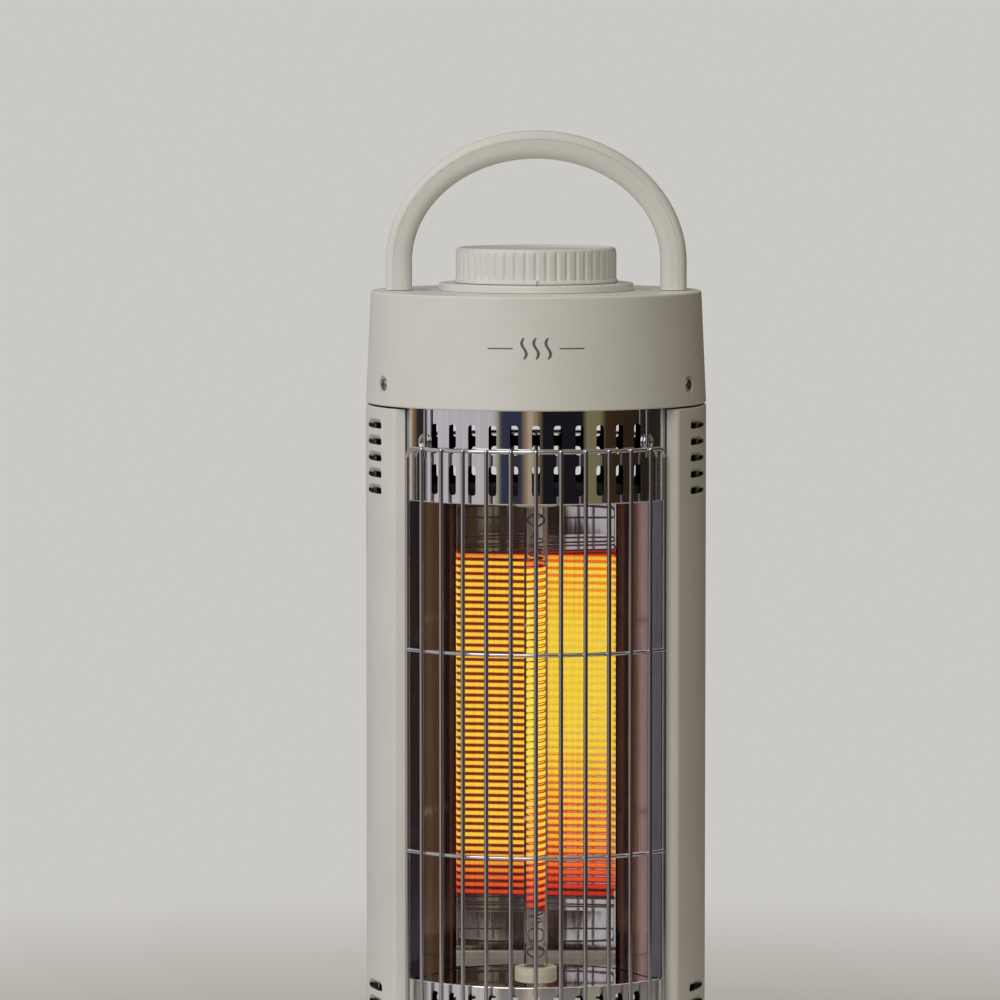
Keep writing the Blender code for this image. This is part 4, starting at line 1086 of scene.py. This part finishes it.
def coil_mesh():
    """Flat ribbon wound into an open helix about Z."""
    per_turn = 36
    turns = (COIL_HIGH.z - COIL_LOW.z - RIBBON_HEIGHT) / COIL_PITCH
    inner, outer = COIL_RADIUS - RIBBON_THICKNESS, COIL_RADIUS
    profile = ((inner, 0.0), (outer, 0.0), (outer, 0.25), (outer, 0.5), (outer, 0.75), (outer, 1.0),
               (inner, 1.0), (inner, 0.5))
    sections = []
    for k in range(round(turns * per_turn) + 1):
        angle = math.tau * k / per_turn
        base = COIL_LOW.z + COIL_PITCH * k / per_turn
        sections.append([(reach * math.cos(angle), reach * math.sin(angle), base + up * RIBBON_HEIGHT)
                         for reach, up in profile])
    return loft(sections)


def lamps():
    """Each lamp: coil, tube, and at both ends a ceramic cap with a lead wire."""
    radius = TUBE_HIGH.x
    bore, ease = radius - TUBE_WALL, 0.0002
    cap_radius, cap_height = CAP_HIGH.x, CAP_HIGH.z - (LOWER_DISC + GAP)
    socket, floor_height = radius + GAP, cap_height - CAP_SOCKET
    tube = rounded((
        (bore, TUBE_LOW.z, ease), (radius, TUBE_LOW.z, ease), (radius, TUBE_HIGH.z, ease),
        (bore, TUBE_HIGH.z, ease),
    ), 3)
    cap = rounded((
        (0.0, floor_height, 0), (socket, floor_height, 0), (socket, cap_height, 0.0003),
        (cap_radius, cap_height, 0.0010), (cap_radius, -GAP, 0), (0.0, -GAP, 0),
    ), 5)
    ends = (("lower", 1.0, LOWER_DISC, COIL_LOW.z), ("upper", -1.0, UPPER_DISC, COIL_HIGH.z))
    for facing, way in (("front", -1.0), ("rear", 1.0)):
        spot = Matrix.Translation((0.0, way * LAMP_OFFSET, 0.0)) @ half_turn(facing)
        piece(facing + "_glowing_coil", coil_mesh(), "carbon", [facing + "_carbon_coil"],
              matrix=spot, sharp=50.0)
        piece(facing + "_tube", turned(tube, 64), "quartz", [facing + "_quartz_tube"], matrix=spot)
        for end, flip, disc, coil_end in ends:
            seat = disc + flip * GAP
            builder = turned([(r, seat + flip * z) for r, z in cap], 72)
            piece(f"{facing}_{end}_ceramic", builder, "ceramic", [f"{facing}_{end}_cap"], matrix=spot)
            wire = lead_wire(seat + flip * (floor_height + 0.0010), coil_end, flip, bore)
            piece(f"{facing}_{end}_lead_wire", wire, "steel", [f"{facing}_{end}_pin"], matrix=spot,
                  look=hot_wire, sharp=60.0)


def lead_wire(start, coil_end, flip, bore):
    """Wire out of the cap: a loop to each side, a straight run, then open turns that grip the coil."""
    lobe = (bore - 2 * LEAD_WIRE) / 2
    middle = start + flip * 0.0085
    path = [Vector((0.0, 0.0, start)), Vector((0.0, 0.0, start + flip * 0.0030))]
    steps = 40
    for n in range(steps + 1):
        swing = math.tau * n / steps
        sideways = 2 * lobe * math.sin(swing)
        rise = middle - flip * 0.0034 * math.cos(swing) * (1 - abs(math.sin(swing)) * 0.2)
        path.append(Vector((sideways, 0.0008 * math.cos(swing), rise)))
    run_end = coil_end - flip * 0.0090
    path.append(Vector((0.0, 0.0, run_end)))
    turns, steps = 3.5, 16
    count = int(turns * steps)
    for n in range(1, count + 1):
        share = n / count
        swing = math.tau * turns * share
        reach = 0.0036 * min(1.0, 3.0 * share)
        rise = run_end + flip * 0.0150 * share
        path.append(Vector((reach * math.cos(swing), reach * math.sin(swing), rise)))
    builder = bmesh.new()
    add_wire(builder, path, LEAD_WIRE, 8, ball_ends=True)
    return builder


# ---------------------------------------------------------------- base

def base():
    """Flared cover with a collar and a hole for the gland."""
    rim, collar = BASE_RADIUS, TOWER_RADIUS
    inner = collar - PLASTIC
    deck_low = DECK_TOP - PLASTIC
    outline = rounded((
        (0.0, DECK_TOP, 0), (collar, DECK_TOP, 0.0008), (collar, 0.0360, 0.0100),
        (rim - 0.0060, 0.0235, 0.0120), (rim, 0.0160, 0.0040), (rim, SKIRT_BOTTOM, 0.0006),
        (rim - PLASTIC, SKIRT_BOTTOM, 0), (rim - PLASTIC, 0.0140, 0.0020), (rim - 0.0090, 0.0215, 0.0060),
        (inner, 0.0345, 0.0080), (inner, deck_low, 0.0010), (0.0, deck_low, 0),
    ), 8)
    hole = rod((0, 1, 0), (0.0, collar, GLAND_HEIGHT), 0.0068, 0.0120)
    piece("base_shell", turned(outline), "shell", ["base_cover"], carve=[hole], sharp=28.0)


def gland():
    """Rubber strain relief in the back of the base: a collar, then five ribs that get smaller."""
    ribs = [(0.0064, -0.0080, 0), (0.0064, 0.0006, 0), (0.0092, 0.0006, 0.0003), (0.0092, 0.0028, 0.0008)]
    for k in range(GLAND_RIBS):
        start = 0.0034 + k * 0.0023
        reach = 0.0070 - 0.0003 * k
        ribs += [(reach - 0.0010, start, 0), (reach, start + 0.0004, 0.0003), (reach, start + 0.0014, 0.0003),
                 (reach - 0.0010, start + 0.0018, 0)]
    ribs += [(0.0038, 0.0150, 0.0004), (0.0038, -0.0080, 0)]
    place = Matrix.Translation((0.0, TOWER_RADIUS, GLAND_HEIGHT)) @ Matrix.Rotation(-math.pi / 2, 4, "X")
    piece("strain_relief", turned(rounded(ribs, 4), 64), "rubber", ["cord_gland"], matrix=place)


def feet():
    """Four rubber feet, each with a ring groove in its sole."""
    for k in range(4):
        low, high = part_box(f"rubber_foot_{k + 1}")
        centre = (low + high) / 2
        reach = (high.x - low.x) / 2
        foot = rounded((
            (0.0, 0.0, 0), (reach * 0.35, 0.0, 0.0003), (reach * 0.42, 0.0007, 0.0003),
            (reach * 0.62, 0.0007, 0.0003), (reach * 0.68, 0.0, 0.0003), (reach - 0.0008, 0.0, 0.0004),
            (reach, 0.0012, 0.0006), (reach, high.z, 0.0003), (0.0, high.z, 0),
        ), 4)
        piece(f"ridged_foot_{k + 1}", turned(foot, 48), "rubber", [f"rubber_foot_{k + 1}"],
              matrix=Matrix.Translation((centre.x, centre.y, 0.0)))


def finish_cad_nodes():
    """The CAD nodes that stay get the same materials as the new pieces."""
    slots = {row["node"]: row["material_slot"] for row in frame["record"]["subparts"]}
    for name, item in frame["nodes"].items():
        if not item.hide_render:
            item.data.materials.clear()
            item.data.materials.append(looks[slots[name]])


# ---------------------------------------------------------------- studio

PALE = (0.60, 0.585, 0.56)


def floor():
    """A pale round floor that fades into the background."""
    builder = bmesh.new()
    radius, rings, sides = 1.1, 12, 96
    rows = []
    for n in range(rings):
        reach = radius * (n + 1) / rings
        rows.append([builder.verts.new(around(reach, math.tau * k / sides)) for k in range(sides)])
    for row, after in zip(rows, rows[1:]):
        for k in range(sides):
            builder.faces.new((row[k], row[(k + 1) % sides], after[(k + 1) % sides], after[k]))
    builder.faces.new(rows[0])
    item = placed("floor", mesh_of(builder, "floor"))
    item.location.z = -0.0002
    material, tree, shader = nodes_of("pale_floor")
    drift = ranged(tree, noise(tree, 3.0), 0.0, 1.0)
    fill(tree, shader, {
        "Base Color": blended(tree, drift, (0.66, 0.63, 0.58), (0.69, 0.66, 0.61)),
        "Roughness": 0.8,
        "Alpha": ranged(tree, length_of(tree, coordinates(tree)), 1.0, 0.0, 0.35, 1.05),
    })
    item.data.materials.append(material)


def compass(tree, share, stops):
    """Colours round the horizon, from (degrees, colour) stops; 0 is the front and +90 is +X."""
    return coloured(tree, share, [((degrees + 180) / 360, colour) for degrees, colour in stops])


def world():
    """Surroundings that only mirrors and plastics see; to the eye they are plain and pale.

    Near the horizon stand broad bright and dark screens, for the bright metal to reflect. Above and
    below them the light runs softly from a cool left to a dim warm right.
    """
    scene_world = bpy.data.worlds.new("studio")
    bpy.context.scene.world = scene_world
    scene_world.use_nodes = True
    tree = scene_world.node_tree
    tree.nodes.clear()
    x, y, z = add_node(tree, "ShaderNodeSeparateXYZ", {"Vector": coordinates(tree, "Generated")}).outputs
    azimuth = worked(tree, "ARCTAN2", x, worked(tree, "MULTIPLY", y, -1.0))
    share = ranged(tree, azimuth, 0.0, 1.0, -math.pi, math.pi)
    screens = compass(tree, share, (
        (-180, (0.30, 0.29, 0.30)), (-126, (0.30, 0.29, 0.30)), (-120, (0.02, 0.02, 0.02)),
        (-112, (0.45, 0.30, 0.15)), (-106, (0.60, 0.50, 0.36)), (-102, (0.30, 0.18, 0.08)),
        (-96, (0.02, 0.02, 0.02)), (-88, (0.02, 0.02, 0.02)), (-85, (0.52, 0.48, 0.51)),
        (-31, (0.47, 0.43, 0.45)), (-28, (0.30, 0.29, 0.20)), (-25, (0.035, 0.036, 0.060)),
        (-11, (0.030, 0.032, 0.055)), (-8, (0.22, 0.15, 0.09)), (-4, (0.42, 0.34, 0.24)),
        (1, (0.22, 0.16, 0.09)), (5, (0.010, 0.009, 0.012)), (34, (0.010, 0.009, 0.012)),
        (37, (0.17, 0.15, 0.078)), (47, (0.17, 0.15, 0.078)), (52, (0.040, 0.023, 0.010)),
        (80, (0.020, 0.013, 0.008)), (180, (0.03, 0.03, 0.03)),
    ))
    around_room = compass(tree, share, (
        (-180, (0.22, 0.21, 0.20)), (-100, (0.56, 0.55, 0.56)), (-30, (0.50, 0.50, 0.47)),
        (0, (0.33, 0.32, 0.28)), (40, (0.17, 0.14, 0.085)), (100, (0.15, 0.11, 0.05)),
        (180, (0.22, 0.21, 0.20)),
    ))
    beyond = ranged(tree, worked(tree, "ABSOLUTE", z), 0.0, 1.0, 0.16, 0.30)
    walls = blended(tree, beyond, screens, around_room)
    room = blended(tree, ranged(tree, z, 0.0, 1.0, 0.55, 0.85), walls, (0.50, 0.49, 0.45))
    lit = add_node(tree, "ShaderNodeBackground", {"Color": room})
    seen = add_node(tree, "ShaderNodeBackground", {"Color": (*PALE, 1.0)})
    eye = add_node(tree, "ShaderNodeLightPath").outputs["Is Camera Ray"]
    both = add_node(tree, "ShaderNodeMixShader", {0: eye, 1: lit.outputs[0], 2: seen.outputs[0]})
    add_node(tree, "ShaderNodeOutputWorld", {"Surface": both.outputs["Shader"]})


def key_light():
    """A large soft square light, up to the left of the front and aimed at the middle of the tower."""
    light = bpy.data.lights.new("key_light", "AREA")
    light.shape = "SQUARE"
    light.size = 2.2
    light.energy = 30.5
    light.color = (1.0, 0.99, 0.955)
    azimuth, elevation, distance = math.radians(-26), math.radians(33), 2.8
    out = around(math.cos(elevation), azimuth, math.sin(elevation))
    item = placed("key_light", light)
    item.location = Vector((0.0, 0.0, 0.30)) + out * distance
    item.rotation_euler = out.to_track_quat("Z", "Y").to_euler()


def camera():
    """Long lens, a little above the handle, aimed so that the tower stands right of the middle."""
    data = bpy.data.cameras.new("camera")
    data.lens = 218.8
    data.sensor_width = 36.0
    data.clip_end = 50.0
    downward, leftward = 4.2367, 0.3402
    item = placed("camera", data)
    item.location = (0.0, -3.1774, 0.5907)
    item.rotation_euler = (math.radians(90.0 - downward), 0.0, math.radians(leftward))
    bpy.context.scene.camera = item


camera()
head_cap()
heat_mark()
dial()
flange()
handle()
screws()
columns()
guards()
mirror_pan("lower_mirror_pan", "lower_pan", LOWER_DISC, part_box("lower_pan")[0].z)
mirror_pan("upper_mirror_pan", "upper_pan", UPPER_DISC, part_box("upper_pan")[1].z)
troughs()
lamps()
base()
gland()
feet()
finish_cad_nodes()
floor()
world()
key_light()
bpy.context.scene.view_settings.view_transform = "Standard"
